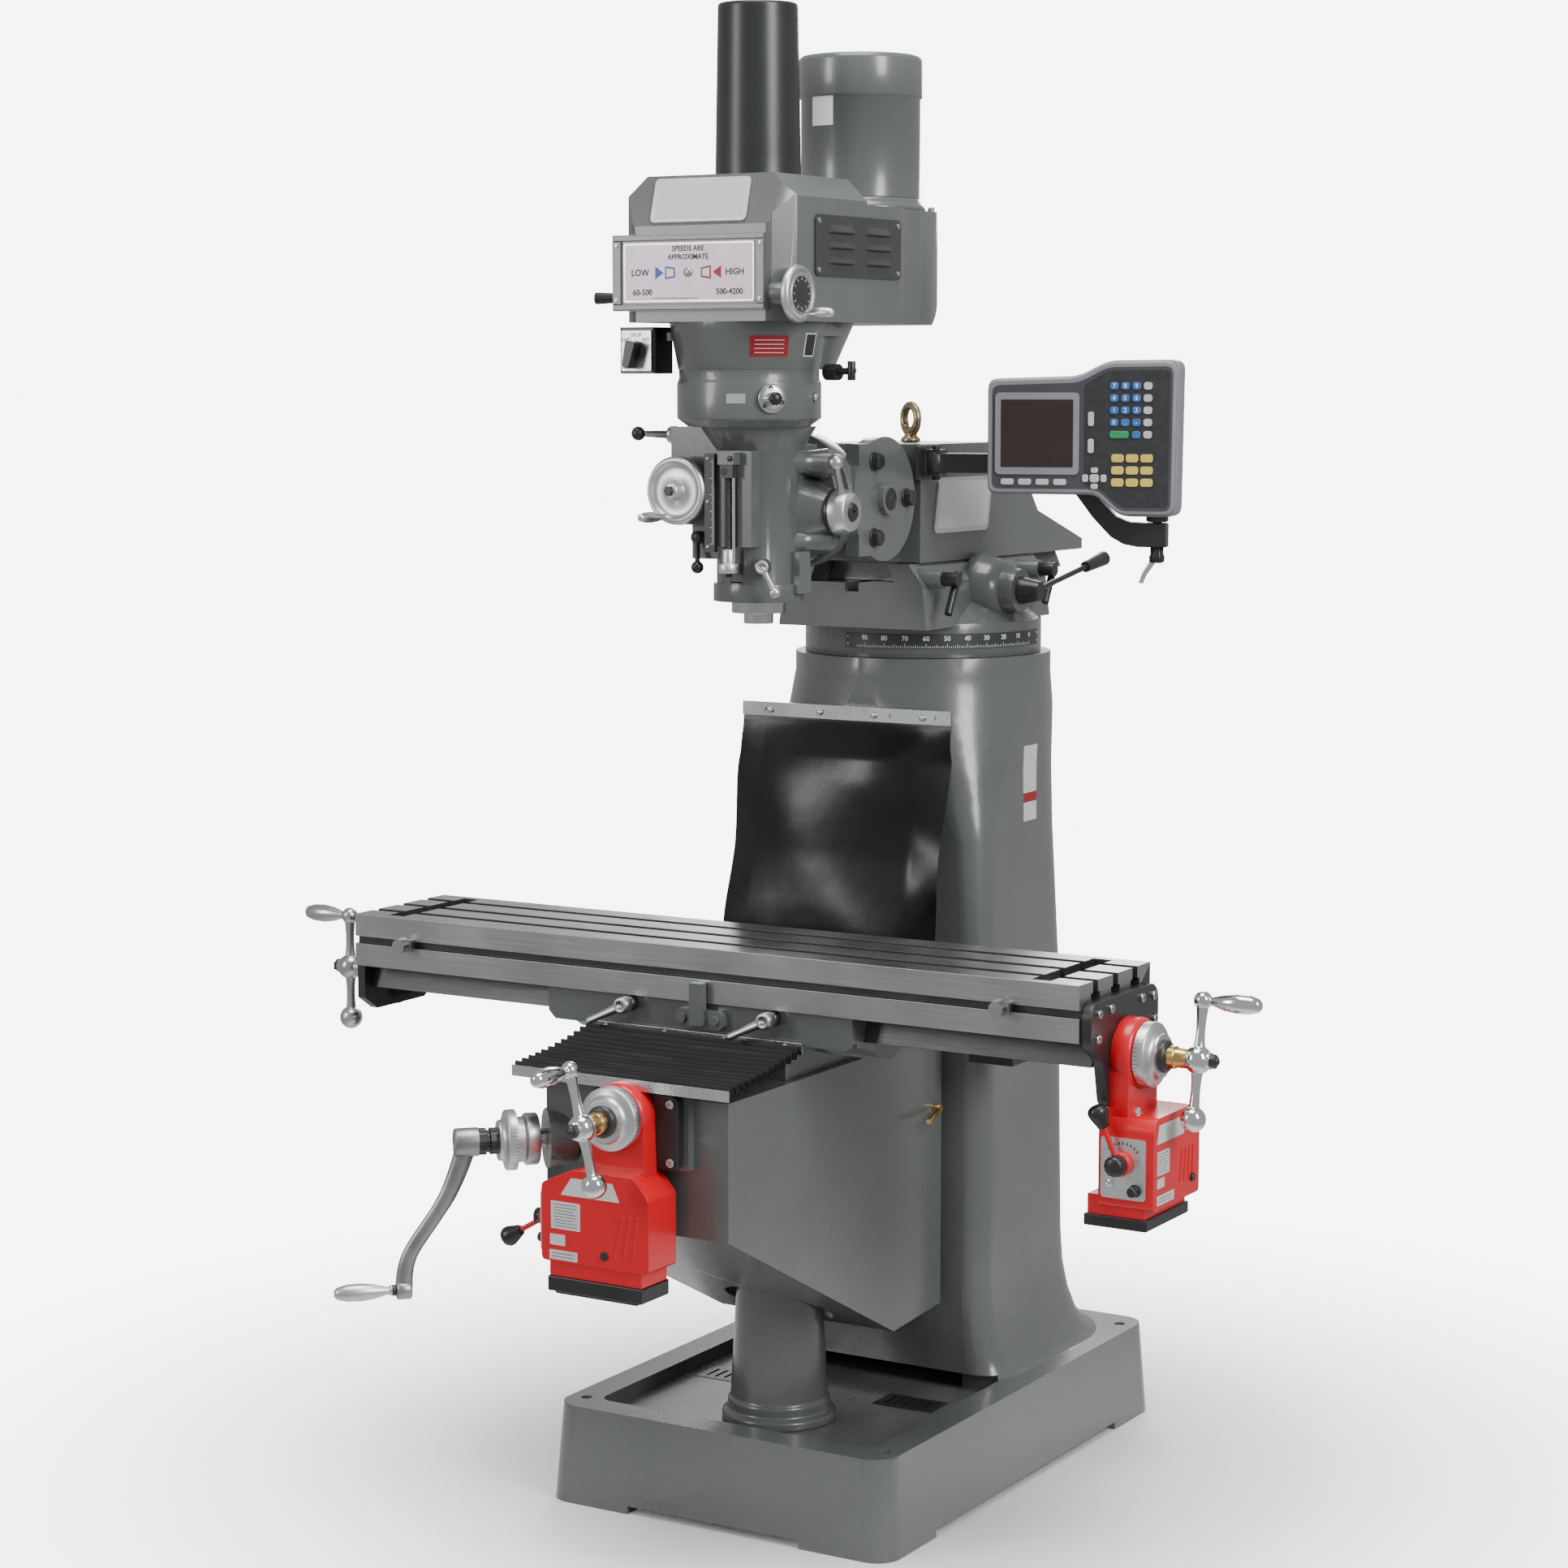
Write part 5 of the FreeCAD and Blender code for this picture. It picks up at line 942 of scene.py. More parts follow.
# ------------------------------------------------------------------ head
def front_plates():
    """The speed chart in its frame and the blank name plate on the slope above it."""
    low = corners("front_plates")[0]
    front = low.y
    chart = Shape()
    plane = front_plane(0, front + 1.9, 0)
    x0, x1, z0, z1 = low.x, 84, low.z, 1909
    chart.prism(rounded(x0, x1, z0, z1, 3), 0, 1.2, SILVER, plane)
    chart.prism(rounded(x0 + 3, x1 - 3, z0 + 3, z1 - 3, 2), 1.2, 1.5, CHART, plane)
    middle = (x0 + x1) / 2

    def at(x, z):
        return plane @ Matrix.Translation((x, z, 1.5))

    level = 1866
    for words, tall, x, z in (("LOW", 13, -82, level), ("HIGH", 13, 79, level),
                              ("60-500", 12, -78, 1838), ("500-4200", 12, 70, 1838),
                              ("SPEEDS ARE", 10.5, 0, 1900), ("APPROXIMATE", 10.5, 0, 1888)):
        chart.text(words, tall, at(middle + x, z), DARK_INK_AND_SHADE)
    chart.block(middle - 62, middle + 18, 1829, 1830, 1.5, 1.8, DARK_INK_AND_SHADE, plane)
    for side, ink in ((-1, BLUE_INK), (1, RED_INK)):
        wide, tip = middle + side * 56, middle + side * 42
        arrow = [(wide, level - 9), (wide, level + 9), (tip, level)]
        near, far = middle + side * 22, middle + side * 39
        ring = [(near, level - 7), (far, level - 9.5), (far, level + 9.5), (near, level + 7)]
        core = [(near + side * 2.4, level - 4.8), (far - side * 2.4, level - 6.6),
                (far - side * 2.4, level + 6.6), (near + side * 2.4, level + 4.8)]
        chart.prism(arrow, 1.5, 1.8, ink, plane)
        chart.prism(ring, 1.5, 1.75, ink, plane)
        chart.prism(core, 1.7, 1.9, CHART, plane)
    chart.lathe([(7, 0), (6.4, 2), (4, 3.4), (0.4, 3.9)], plane @ Vector((middle, level, 1.5)),
                FRONT, STEEL, sides=32)
    chart.write("speed_chart", "head", replaces=["front_plates"])

    lean = 21 / 77
    slope_front = -456 - 1.05
    slope_foot = Vector((0, slope_front + lean * 8, 1938))
    slope_head = Vector((0, slope_front + lean * 71, 2001))
    up = (slope_head - slope_foot).normalized()
    out = Vector(RIGHT).cross(up)
    plane = Matrix(((1, 0, 0, 0), (0, up.y, out.y, slope_foot.y), (0, up.z, out.z, slope_foot.z),
                    (0, 0, 0, 1)))
    tall = (slope_head - slope_foot).length
    name = Shape()
    name.prism(rounded(-100, 62, 0, tall, 7, 6), 0, 2.6, SILVER, plane)
    name.prism(rounded(-93, 55, 6, tall - 6, 4, 5), 2.6, 3.0, LABEL, plane)
    name.write("blank_name_plate", "head", bevel=0.9)


def front_frame():
    """The raised frame that carries the speed chart, with its four screws."""
    trim = Shape()
    y = corners("belt_housing")[0].y
    for x0, x1, z0, z1 in ((-157, 101, 1912, 1920), (-157, 101, 1813, 1821),
                           (-157, -142, 1821, 1912), (87, 101, 1821, 1912)):
        trim.block(x0, x1, y - 3, y + 2, z0, z1, ENAMEL)
    trim.write("chart_frame_lip", "head", bevel=1.2)
    screws = Shape()
    for x in (-150, 94):
        for z in (1828, 1906):
            cap_screw(screws, (x, y - 3, z), FRONT, 3.2, 1.6, STEEL)
    screws.write("chart_frame_screws", "head", bevel=0.3)


def louvres():
    """The pressed vent plate with its six louvres and corner screws."""
    low, high = corners("vent_plate")
    face = low.x
    plate = Shape()
    plane = right_plane(face + 0.1, 0, 0)
    plate.prism(rounded(low.y, high.y, low.z, high.z, 9), 0, 2.6, BLACK_PLATE, plane)
    steps, width = 12, 78
    for column in (0.14, 0.57):
        y = low.y + (high.y - low.y) * column
        for z in (low.z + 19, low.z + 41, low.z + 63):
            points, faces = [], []
            for step in range(steps + 1):
                across = y + width * (step / steps)
                swell = math.sin(math.pi * (step / steps)) ** 0.35
                points += [(face + 2.5, across, z + 12),
                           (face + 2.5 + 6.5 * swell, across, z + 1.5),
                           (face + 2.5 + 5.8 * swell, across, z), (face + 2.5, across, z)]
            for step in range(steps):
                base = step * 4
                for row in range(3):
                    faces.append((base + row, base + row + 1, base + row + 5, base + row + 4))
            faces += [(3, 2, 1, 0), tuple(range(steps * 4, steps * 4 + 4))]
            plate.add(points, faces, BLACK_PLATE, smooth=True)
            # Painted shade: a dark strip along the foot of each louvre, where its opening lies in shade.
            plate.block(face + 2.4, face + 2.75, y + 4, y + 74, z - 1.5, z + 0.6, DARK_INK_AND_SHADE)
    for y in (low.y + 9, high.y - 9):
        for z in (low.z + 9, high.z - 9):
            plate.lathe([(4, 0), (3.8, 1.4), (2, 2.2), (0.4, 2.3)], (face + 2.6, y, z), RIGHT,
                        STEEL, sides=20)
    plate.write("vent_louvre_plate", "head", bevel=0.5, replaces=["vent_plate"])


def motor():
    """The drive motor: rolled body, fan cowl, foot bolts and a blank data plate."""
    low, high = corners("drive_motor")
    x, y = (low.x + high.x) / 2, (low.y + high.y) / 2
    foot = low.z
    radius = 92
    body = Shape()
    body.lathe([(100, 0), (100, 7), (97, 11), (radius, 16), (radius, 20)], (x, y, foot), UP,
               ENAMEL, sides=96)
    top = high.z - foot
    body.lathe([(radius, 20), (radius - 0.4, 22), (radius - 0.4, top - 66), (radius + 2, top - 64),
                (radius + 3, top - 62), (radius + 3, top - 9), (radius + 1.6, top - 4),
                (radius - 2, top - 1), (radius - 7, top), (20, top)], (x, y, foot),
               UP, ENAMEL, sides=96)
    body.write("motor_body", "head", replaces=["drive_motor"])
    plate = Shape()
    wrapped(plate, (x, y), math.radians(-100), foot + 128, 44, (radius, radius), 40, LABEL)
    plate.write("motor_data_plate", "head")
    bolts = Shape()
    for angle in (-150, -60, 30, 120):
        bx = x + 109 * math.cos(math.radians(angle))
        by = y + 109 * math.sin(math.radians(angle))
        bolts.lathe([(7, 0), (7, 1.5), (5.5, 2)], (bx, by, foot), UP, STEEL, sides=24)
        bolts.lathe(hex_profile(6, 7), (bx, by, foot + 1.5), UP, STEEL, sides=6)
    bolts.write("motor_foot_bolts", "head", bevel=0.4)


def drawbar_tube():
    """The rolled sheet cover over the drawbar: a slight taper and a rolled rim."""
    low, high = corners("drawbar_cover")
    x, y = (low.x + high.x) / 2, (low.y + high.y) / 2
    tall = high.z - low.z
    tube = Shape()
    tube.lathe([(63, 0.2), (63.0, 3), (62.7, 5), (62.4, 30), (58.9, tall - 8), (58.7, tall - 5),
                (58.2, tall - 1.5), (56.8, tall), (54.5, tall - 0.4), (52, tall - 2.2),
                (20, tall - 2.6)], (x, y, low.z), UP, BLACK_TUBE, sides=96)
    tube.write("drawbar_tube", "head", replaces=["drawbar_cover"])


def wheel_grip(shape, foot, along, length, thick, material):
    """A turned handle that swells in the middle and narrows to a collar."""
    profile = [(thick * 0.55, 0), (thick * 0.55, 3), (thick * 0.42, 5), (thick * 0.48, 9),
               (thick * 0.82, length * 0.32), (thick * 0.98, length * 0.55),
               (thick * 0.92, length * 0.78), (thick * 0.68, length * 0.94),
               (thick * 0.4, length * 0.99), (0.5, length)]
    shape.lathe(profile, foot, along, material, sides=40)


def handwheels():
    """The speed-change handwheel and the fine-feed handwheel."""
    axis = joint_spot("speed_wheel_turn")
    x = corners("speed_handwheel")[0].x
    wheel = Shape()
    wheel.lathe([(12, 0), (14, 1), (15, 3), (34, 3), (37.5, 3.5), (40, 5.5), (41, 9), (40.6, 13),
                 (38.6, 16.2), (35.5, 17), (33, 16), (31.5, 14.6), (27, 14.2), (26, 15.6),
                 (0.5, 15.8)], (x, axis.y, axis.z), RIGHT, ALUMINIUM, sides=80)
    wheel_grip(wheel, (x + 15, axis.y + 14, axis.z - 27), RIGHT, 46, 8.4, ALUMINIUM)
    wheel.write("speed_wheel", "speed_handwheel", replaces=["speed_handwheel"])
    dial = Shape()
    dial.lathe([(25, 0), (25, 0.9), (24.4, 1.2), (0.5, 1.2)], (x + 15.2, axis.y, axis.z),
               RIGHT, DARK_INK_AND_SHADE, sides=64)
    plane = right_plane(x + 16.4, axis.y, axis.z)
    for step in range(12):
        turn = Matrix.Rotation(math.radians(step * 30), 4, "Z")
        dial.block(-0.4, 0.4, 19, 23, 0, 0.25, PALE_INK, plane @ turn)
    dial.write("speed_wheel_dial", "speed_handwheel")

    axis = joint_spot("fine_feed_turn")
    back = corners("fine_feed_handwheel")[1].y
    wheel = Shape()
    wheel.lathe([(9, 0), (10, 1), (10, 17), (20, 20), (34, 22), (40, 20), (45, 18.5), (49, 21),
                 (51, 26), (50.4, 32), (47.5, 36.5), (43.5, 37.5), (40.5, 35), (38.5, 31.5),
                 (33, 30.5), (15.5, 31), (14, 32.5), (12.5, 46), (11, 49), (8, 50), (0.5, 50)],
                (axis.x, back, axis.z), FRONT, ALUMINIUM, sides=96)
    wheel_grip(wheel, (axis.x - 16, back - 34, axis.z - 38), FRONT, 72, 8.4, ALUMINIUM)
    wheel.write("fine_feed_wheel", "fine_feed_handwheel", replaces=["fine_feed_handwheel"])
    nut = Shape()
    nut.lathe(hex_profile(8, 4), (axis.x, back - 50, axis.z), FRONT, BLACK_STEEL, sides=6)
    nut.write("fine_feed_nut", "fine_feed_handwheel", bevel=0.5)


# ------------------------------------------------------------------ feeds and cranks
CRANK_ARM = 82


def dial(shape, matrix, radius, length, divisions=50):
    """A graduated ring dial whose axis is the matrix's own X."""
    profile = [(radius - 8, 0), (radius, 1), (radius, length * 0.55),
               (radius - 1.2, length * 0.6), (radius - 9, length * 0.68),
               (radius - 14, length * 0.8), (radius - 15, length),
               (radius * 0.5, length + 1), (0.5, length + 1)]
    shape.lathe(profile, matrix.translation, matrix.to_3x3() @ Vector(RIGHT), ALUMINIUM,
                sides=90)
    for step in range(divisions):
        turn = matrix @ Matrix.Rotation(2 * math.pi * step / divisions, 4, "X")
        long = length * (0.42 if step % 5 == 0 else 0.26)
        shape.block(1.2, 1.2 + long, -0.35, 0.35, radius - 0.4, radius + 0.12, DARK_INK_AND_SHADE, turn)


def ball_crank(shape, matrix, reach, arm_length, metal):
    """Two balls on tapered arms from a ball hub, with a swelling grip, along the matrix's X."""
    turn = matrix.to_3x3()

    def spot(x, y, z):
        return matrix @ Vector((x, y, z))

    shape.ball(spot(reach, 0, 0), 20, metal)
    shape.lathe([(12, 0), (12, 3), (11, 4)], spot(reach + 16, 0, 0), turn @ Vector(RIGHT),
                metal, sides=40)
    shape.lathe(hex_profile(10.5, 8), spot(reach + 19.5, 0, 0), turn @ Vector(RIGHT),
                BLACK_STEEL, sides=6)
    shape.lathe([(5, 0), (5, 4), (4, 5)], spot(reach + 26, 0, 0), turn @ Vector(RIGHT),
                BLACK_STEEL, sides=24)
    for end, size in ((1, 13), (-1, 18)):
        path = [spot(reach, 0, end * (14 + (arm_length - 14) * i / 10)) for i in range(11)]
        radii = [9.2 - 2.6 * math.sin(math.pi * (i / 10) ** 0.8) for i in range(11)]
        shape.sweep(path, radii, metal, sides=28)
        shape.ball(spot(reach, 0, end * arm_length), size, metal)
    wheel_grip(shape, spot(reach + 8, 0, arm_length), turn @ Vector(RIGHT), 79, 14.2, metal)


def sleeve(shape, matrix, start, end):
    """The brass sleeve between a dial and its crank, knurled at the dial end."""
    turn = matrix.to_3x3() @ Vector(RIGHT)
    foot = matrix @ Vector((start, 0, 0))
    shape.lathe([(22, 0), (23, 1), (23, 7), (20, 10), (17, 11)], foot, turn, BLACK_STEEL, sides=48)
    shape.lathe([(16, 0), (16, 12), (14.6, 13), (14, 14), (14, end - start - 8)],
                matrix @ Vector((start + 8, 0, 0)), turn, BRASS, sides=72,
                flute=knurl(0.018, 36, end=12.5))


def screw_end(shape, matrix):
    """The dial, sleeve and ball crank at the hand end of a feed screw."""
    dial(shape, matrix, 46, 28)
    sleeve(shape, matrix, 27, 66)
    ball_crank(shape, matrix, 80, CRANK_ARM, CHROME)


def label(shape, matrix, width, height, lines, material=LABEL):
    """A blank stuck-on label with faint ruled lines, in the matrix's X and Y."""
    shape.prism(rounded(-width / 2, width / 2, -height / 2, height / 2, 1.5), 0, 0.35, material,
                matrix)
    for line in range(lines):
        y = height / 2 - height * (line + 1) / (lines + 1)
        shape.block(-width * 0.40, width * (0.38 - 0.1 * (line % 3 == 2)), y - 0.45, y + 0.45,
                    0.35, 0.45, DARK_INK_AND_SHADE, matrix)


def facing(direction, spot):
    """A plane at a spot whose Z looks along a level direction, with Y up."""
    out = Vector(direction).normalized()
    up = Vector(UP)
    right = up.cross(out).normalized()
    top = out.cross(right)
    return Matrix(((right.x, top.x, out.x, spot[0]), (right.y, top.y, out.y, spot[1]),
                   (right.z, top.z, out.z, spot[2]), (0, 0, 0, 1)))


def y_feed():
    """The cross feed: black bracket, red bearing and gearbox, control side and base."""
    axis = joint_spot("y_screw_turn")
    back = corners("y_feed_unit")[1].y
    red = Shape()
    red.lathe([(47, 0), (48, 2), (48, 28), (46, 32), (44, 33.6), (15.3, 33.6)],
              (axis.x, back - 16, axis.z), FRONT, RED, sides=72)
    plane = front_plane(0, 0, 0)
    stem = [(axis.x - 47, axis.z), (axis.x - 50, 600), (axis.x - 50, 592), (axis.x + 50, 592),
            (axis.x + 50, 600), (axis.x + 47, axis.z)]
    red.prism(stem[::-1], 17 - back, 48 - back, RED, plane)
    case = [(-104, 468), (78, 468), (78, 575), (52, 604), (-50, 604), (-104, 580)]
    red.prism(round_outline(case, 7), 2 - back, 74 - back, RED, plane)
    red.block(-92, 64, back - 71, back - 5, 446, 470, RED)
    for step in range(3):
        ridge = [(20 + step * 15, 486), (24 + step * 15, 486), (38 + step * 12, 548),
                 (34 + step * 12, 548)]
        red.prism(ridge, 73.5 - back, 75.2 - back, RED, plane)
    red.write("y_feed_gearbox", "knee", bevel=3.4, segments=4, replaces=["y_feed_unit"])

    dark = Shape()
    dark.prism(rounded(-56, 90, 606, 714, 12), -back, 16 - back, BLACK_STEEL, plane)
    dark.block(-94, 66, back - 74, back - 2, 424, 446, PLASTIC)
    dark.block(-84, 56, back - 70, back - 6, 420, 426, PLASTIC)
    dark.write("y_feed_bracket", "knee", bevel=2.0, segments=3)

    small = Shape()
    for x in (-44, 79):
        for z in (618, 702):
            cap_screw(small, (x, back - 16, z), FRONT, 6.5, 5, STEEL)
    small.lathe([(6.5, 0), (6.5, 1.5), (5.5, 2.5), (0.5, 2.5)], (4, back - 74, 486), FRONT,
                BLACK_STEEL, sides=32)
    control = facing(LEFT, (-104, back - 38, 522))
    small.prism(rounded(-29, 29, -44, 46, 5), 0, 6.5, SILVER, control)
    small.lathe([(8, 0), (7.5, 10), (6.5, 12), (0.5, 12)], control @ Vector((14, -28, 6.5)),
                LEFT, PLASTIC, sides=32)
    label(small, facing(FRONT, (-62, back - 74.1, 536)), 50, 40, 8)
    label(small, facing(FRONT, (-76, back - 74.1, 500)), 26, 16, 0)
    label(small, facing(FRONT, (-66, back - 74.1, 478)), 48, 14, 2)
    slant = [(-70, 566), (30, 566), (18, 592), (-52, 592)]
    small.prism(round_outline(slant, 2), 74.1 - back, 74.5 - back, LABEL, plane)
    small.write("y_feed_fittings", "knee", bevel=0.35)

    lever = Shape()
    hub = joint_spot("y_feed_lever_swing")
    x = corners("y_feed_lever")[1].x
    lever.lathe([(14, 0), (14, 12), (12, 15)], (x, hub.y, hub.z), LEFT, RED, sides=40)
    lever.lathe([(11, 0), (12, 2), (11, 12), (8, 14), (0.5, 14)], (x - 13, hub.y, hub.z),
                LEFT, PLASTIC, sides=40,
                flute=knurl(0.03, 10))
    pear_lever(lever, Vector((x - 10, hub.y, hub.z)), Vector((-0.84, -0.12, -0.50)), 62)
    lever.write("y_feed_control", "y_feed_lever", replaces=["y_feed_lever"])

    crank = Shape()
    foot = back - 16 - 34 - 0.5
    spin = Matrix.Translation((axis.x, foot, axis.z)) @ Matrix.Rotation(math.radians(-90), 4, "Z")
    spin = spin @ Matrix.Rotation(math.radians(14), 4, "X")
    screw_end(crank, spin)
    crank.lathe([(14.9, 0), (14.9, 152)], (axis.x, foot + 150, axis.z), FRONT, STEEL)
    crank.write("y_feed_crank", "y_screw", bevel=0.3, angle=50, replaces=["y_screw_crank"])


def pear_lever(shape, foot, direction, length):
    """A red lever with a black pear-shaped grip."""
    direction = direction.normalized()
    shape.sweep([foot + direction * length * i / 6 for i in range(7)],
                [4.6, 4.2, 4.0, 4.0, 4.0, 4.0, 4.0], RED, sides=20)
    shape.lathe([(7, 0), (8.5, 2), (9.5, 6), (12.5, 14), (14.6, 21), (14.4, 26), (11.5, 30.5),
                 (6, 33), (0.5, 33.5)], foot + direction * (length - 16), direction, PLASTIC,
                sides=40)


def x_feed():
    """The table feed on the table's right end, built like the cross feed."""
    axis = joint_spot("table_screw_turn")
    face = corners("table")[1].x
    y = axis.y
    plane = right_plane(face, y, 0)
    dark = Shape()
    bracket = [(-56, 712), (56, 712), (70, 780), (110, 806), (110, 852), (96, 866), (-96, 866),
               (-110, 852), (-110, 806), (-70, 780)]
    dark.prism(round_outline(bracket, 16), 0.1, 16, BLACK_STEEL, plane)
    dark.block(face - 18, face + 78, y - 58, y + 84, 545, 562, PLASTIC)
    dark.write("x_feed_bracket", "table", bevel=2.2, segments=3, replaces=["x_feed_unit"])

    red = Shape()
    red.lathe([(50, 0), (51, 2), (51, 24), (49, 28), (46, 29.8), (15.3, 29.8)],
              (face + 16, y, axis.z), RIGHT, RED, sides=72)
    stem = [(-47, axis.z), (-48, 692), (48, 692), (47, axis.z)]
    red.prism(stem, 12, 44, RED, plane)
    case = [(-58, 575), (96, 575), (96, 672), (74, 704), (-46, 704), (-58, 690)]
    red.prism(round_outline(case, 7), 4, 88, RED, plane)
    red.block(face - 14, face + 74, y - 54, y + 80, 561, 590, RED)
    for step in range(4):
        ridge = [(28 + step * 14, 600), (32 + step * 14, 600), (40 + step * 12, 648),
                 (36 + step * 12, 648)]
        red.prism(ridge, 87.5, 89.4, RED, plane)
    red.write("x_feed_gearbox", "table", bevel=3.4, segments=4)

    small = Shape()
    for dy, z in ((-88, 850), (-50, 852), (50, 852), (88, 850), (-92, 816), (92, 816)):
        cap_screw(small, (face + 16, y + dy, z), RIGHT, 6.5, 5, STEEL)
    panel = facing(FRONT, (face + 43, y - 58, 632))
    small.prism(rounded(-34, 34, -43, 43, 5), 0, 2.6, SILVER, panel)
    for step in range(9):
        turn = Matrix.Rotation(math.radians(40 + step * 12.5) - math.pi / 2, 4, "Z")
        small.block(-0.9, 0.9, 26, 30, 2.6, 2.8, DARK_INK_AND_SHADE,
                    panel @ Matrix.Translation((0, 8, 0)) @ turn)
    small.lathe([(9, 0), (9, 2), (7.5, 3), (7, 13), (5.5, 14.5), (0.5, 14.5)],
                panel @ Vector((19, -29, 2.6)), FRONT, PLASTIC, sides=32,
                flute=knurl(0.05, 12, start=2))
    small.lathe([(5, 0), (5, 2), (3, 3), (2, 9), (0.4, 9.6)], panel @ Vector((-20, -22, 2.6)),
                FRONT, CHROME, sides=24)
    small.lathe([(9, 0), (9, 2), (6, 3), (5, 8), (0.5, 9)], (face + 44, y - 20, 703.5),
                UP, CHROME, sides=32)
    label(small, facing(RIGHT, (face + 88.1, y - 26, 640)), 40, 34, 7)
    label(small, facing(RIGHT, (face + 88.1, y - 34, 612)), 24, 14, 0)
    label(small, facing(RIGHT, (face + 88.1, y - 18, 588)), 56, 14, 2)
    slant = [(-48, 668), (40, 668), (52, 694), (-40, 694)]
    small.prism(round_outline(slant, 2), 88.1, 88.5, LABEL, plane)
    small.lathe([(6, 0), (6, 3), (5, 4), (0.5, 4)], (face + 88, y + 70, 600), RIGHT,
                BLACK_STEEL, sides=28)
    small.write("x_feed_fittings", "table", bevel=0.35)

    lever = Shape()
    hub = joint_spot("x_feed_lever_swing")
    start = corners("x_feed_lever")[1].y
    lever.lathe([(17, 0), (17, 11), (15, 13)], (hub.x, start, hub.z), FRONT, RED, sides=48)
    lever.lathe([(13, 0), (15, 2), (14.5, 14), (12, 18), (9, 19.5), (0.5, 20)],
                (hub.x, start - 13, hub.z), FRONT, PLASTIC, sides=48,
                flute=knurl(0.025, 12))
    pear_lever(lever, Vector((hub.x - 2, start - 8, hub.z)), Vector((-0.35, -0.1, 0.9)), 70)
    lever.write("x_feed_control", "x_feed_lever", replaces=["x_feed_lever"])

    screw = Shape()
    foot = face + 46.5
    spin = Matrix.Translation((foot, y, axis.z)) @ Matrix.Rotation(math.radians(-10), 4, "X")
    screw_end(screw, spin)
    left = -face - 44.5
    spin = Matrix.Translation((left, y, axis.z)) @ Matrix.Rotation(math.pi, 4, "Z")
    dial(screw, spin, 31, 16, 40)
    screw.lathe([(13, 0), (13, 40)], spin @ Vector((16, 0, 0)), LEFT, STEEL, sides=40)
    ball_crank(screw, spin, 56, CRANK_ARM, STEEL)
    screw.lathe([(14.9, 0), (14.9, foot - left)], (left, y, axis.z), RIGHT, STEEL, sides=40)
    screw.write("table_screw_and_cranks", "x_screw", bevel=0.3, angle=50,
                replaces=["x_screw_cranks"])


def knee_crank():
    """The knee's crank: graduated dial, toothed clutch and cast dog-leg arm."""
    axis = joint_spot("knee_crank_turn")
    knee = corners("knee_casting")[0]
    start = Vector((knee.x + 26, knee.y + 30, axis.z))
    frame_here = Matrix.Translation(start) @ Matrix.Rotation(math.radians(225), 4, "Z")
    outward = frame_here.to_3x3() @ Vector(RIGHT)
    crank = Shape()
    crank.lathe([(13.9, 0), (13.9, 120)], frame_here @ Vector((-30, 0, 0)), outward, STEEL)
    crank.lathe([(36, 8), (38, 10), (38, 26), (33, 30), (33, 42)], start, outward, ALUMINIUM,
                sides=72)
    dial(crank, frame_here @ Matrix.Translation((40, 0, 0)), 44, 26)
    crank.lathe([(17, 0), (19, 1), (19.5, 12), (16, 13), (16, 17), (19.5, 18), (19.5, 30)],
                frame_here @ Vector((66, 0, 0)), outward, BLACK_STEEL, sides=72,
                flute=knurl(0.03, 10))
    crank.lathe([(19, 0), (21, 1.5), (21, 33), (19.5, 35.5), (15, 36), (14, 34.5), (0.5, 34.5)],
                frame_here @ Vector((94, 0, 0)), outward, ARM_METAL, sides=60)
    line = [(112, 0, -4), (118, 0, -24), (126, 0, -46), (140, 0, -78), (160, 0, -108),
            (182, 0, -138), (198, 0, -162), (204, 0, -186), (205, 0, -210)]
    path = [frame_here @ point for point in smooth_line(line, 44)]
    radii = [15.5 - 4.2 * min(1, i / 20) + 1.6 * max(0, (i - 34) / 10) for i in range(45)]
    crank.sweep(path, radii, ARM_METAL, sides=28, flat=0.72)
    crank.lathe([(12, -11), (14, -9), (14, 9), (12, 11)], frame_here @ Vector((205, 0, -212)),
                outward, ARM_METAL, sides=40)
    crank.lathe([(7, 0), (8, 2), (8, 6), (6, 8)], frame_here @ Vector((216, 0, -212)), outward,
                BLACK_STEEL, sides=30)
    wheel_grip(crank, frame_here @ Vector((222, 0, -212)), outward, 84, 13.4, ALUMINIUM)
    crank.write("knee_crank_handle", "knee_crank", bevel=0.4, angle=50, replaces=["knee_crank"])


def lock_levers():
    """The two table clamps: a black hub with a pale tapered handle."""
    for node, body, joint in (("table_lock_lever_left", "lock_left", "table_lock_left_turn"),
                              ("table_lock_lever_right", "lock_right", "table_lock_right_turn")):
        axis = joint_spot(joint)
        start = corners(node)[1].y
        lever = Shape()
        lever.lathe([(10, 0), (11, 1), (11, 16)], (axis.x, start, axis.z), FRONT, PLASTIC,
                    sides=40)
        lever.lathe([(11, 0), (12, 1), (12, 17), (10.5, 18.5), (6, 18.5), (5, 16), (0.5, 16)],
                    (axis.x, start - 16, axis.z), FRONT, LEVER_METAL, sides=40)
        direction = Vector((-0.86, -0.15, -0.42)).normalized()
        foot = Vector((axis.x, start - 26, axis.z))
        path = [foot + direction * 66 * i / 14 for i in range(15)]
        radii = [8.5 - 2.4 * min(1, i / 9) for i in range(13)] + [6.0, 3.6]
        lever.sweep(path, radii, LEVER_METAL, sides=24, flat=0.8)
        lever.write(node + "_handle", body, replaces=[node])


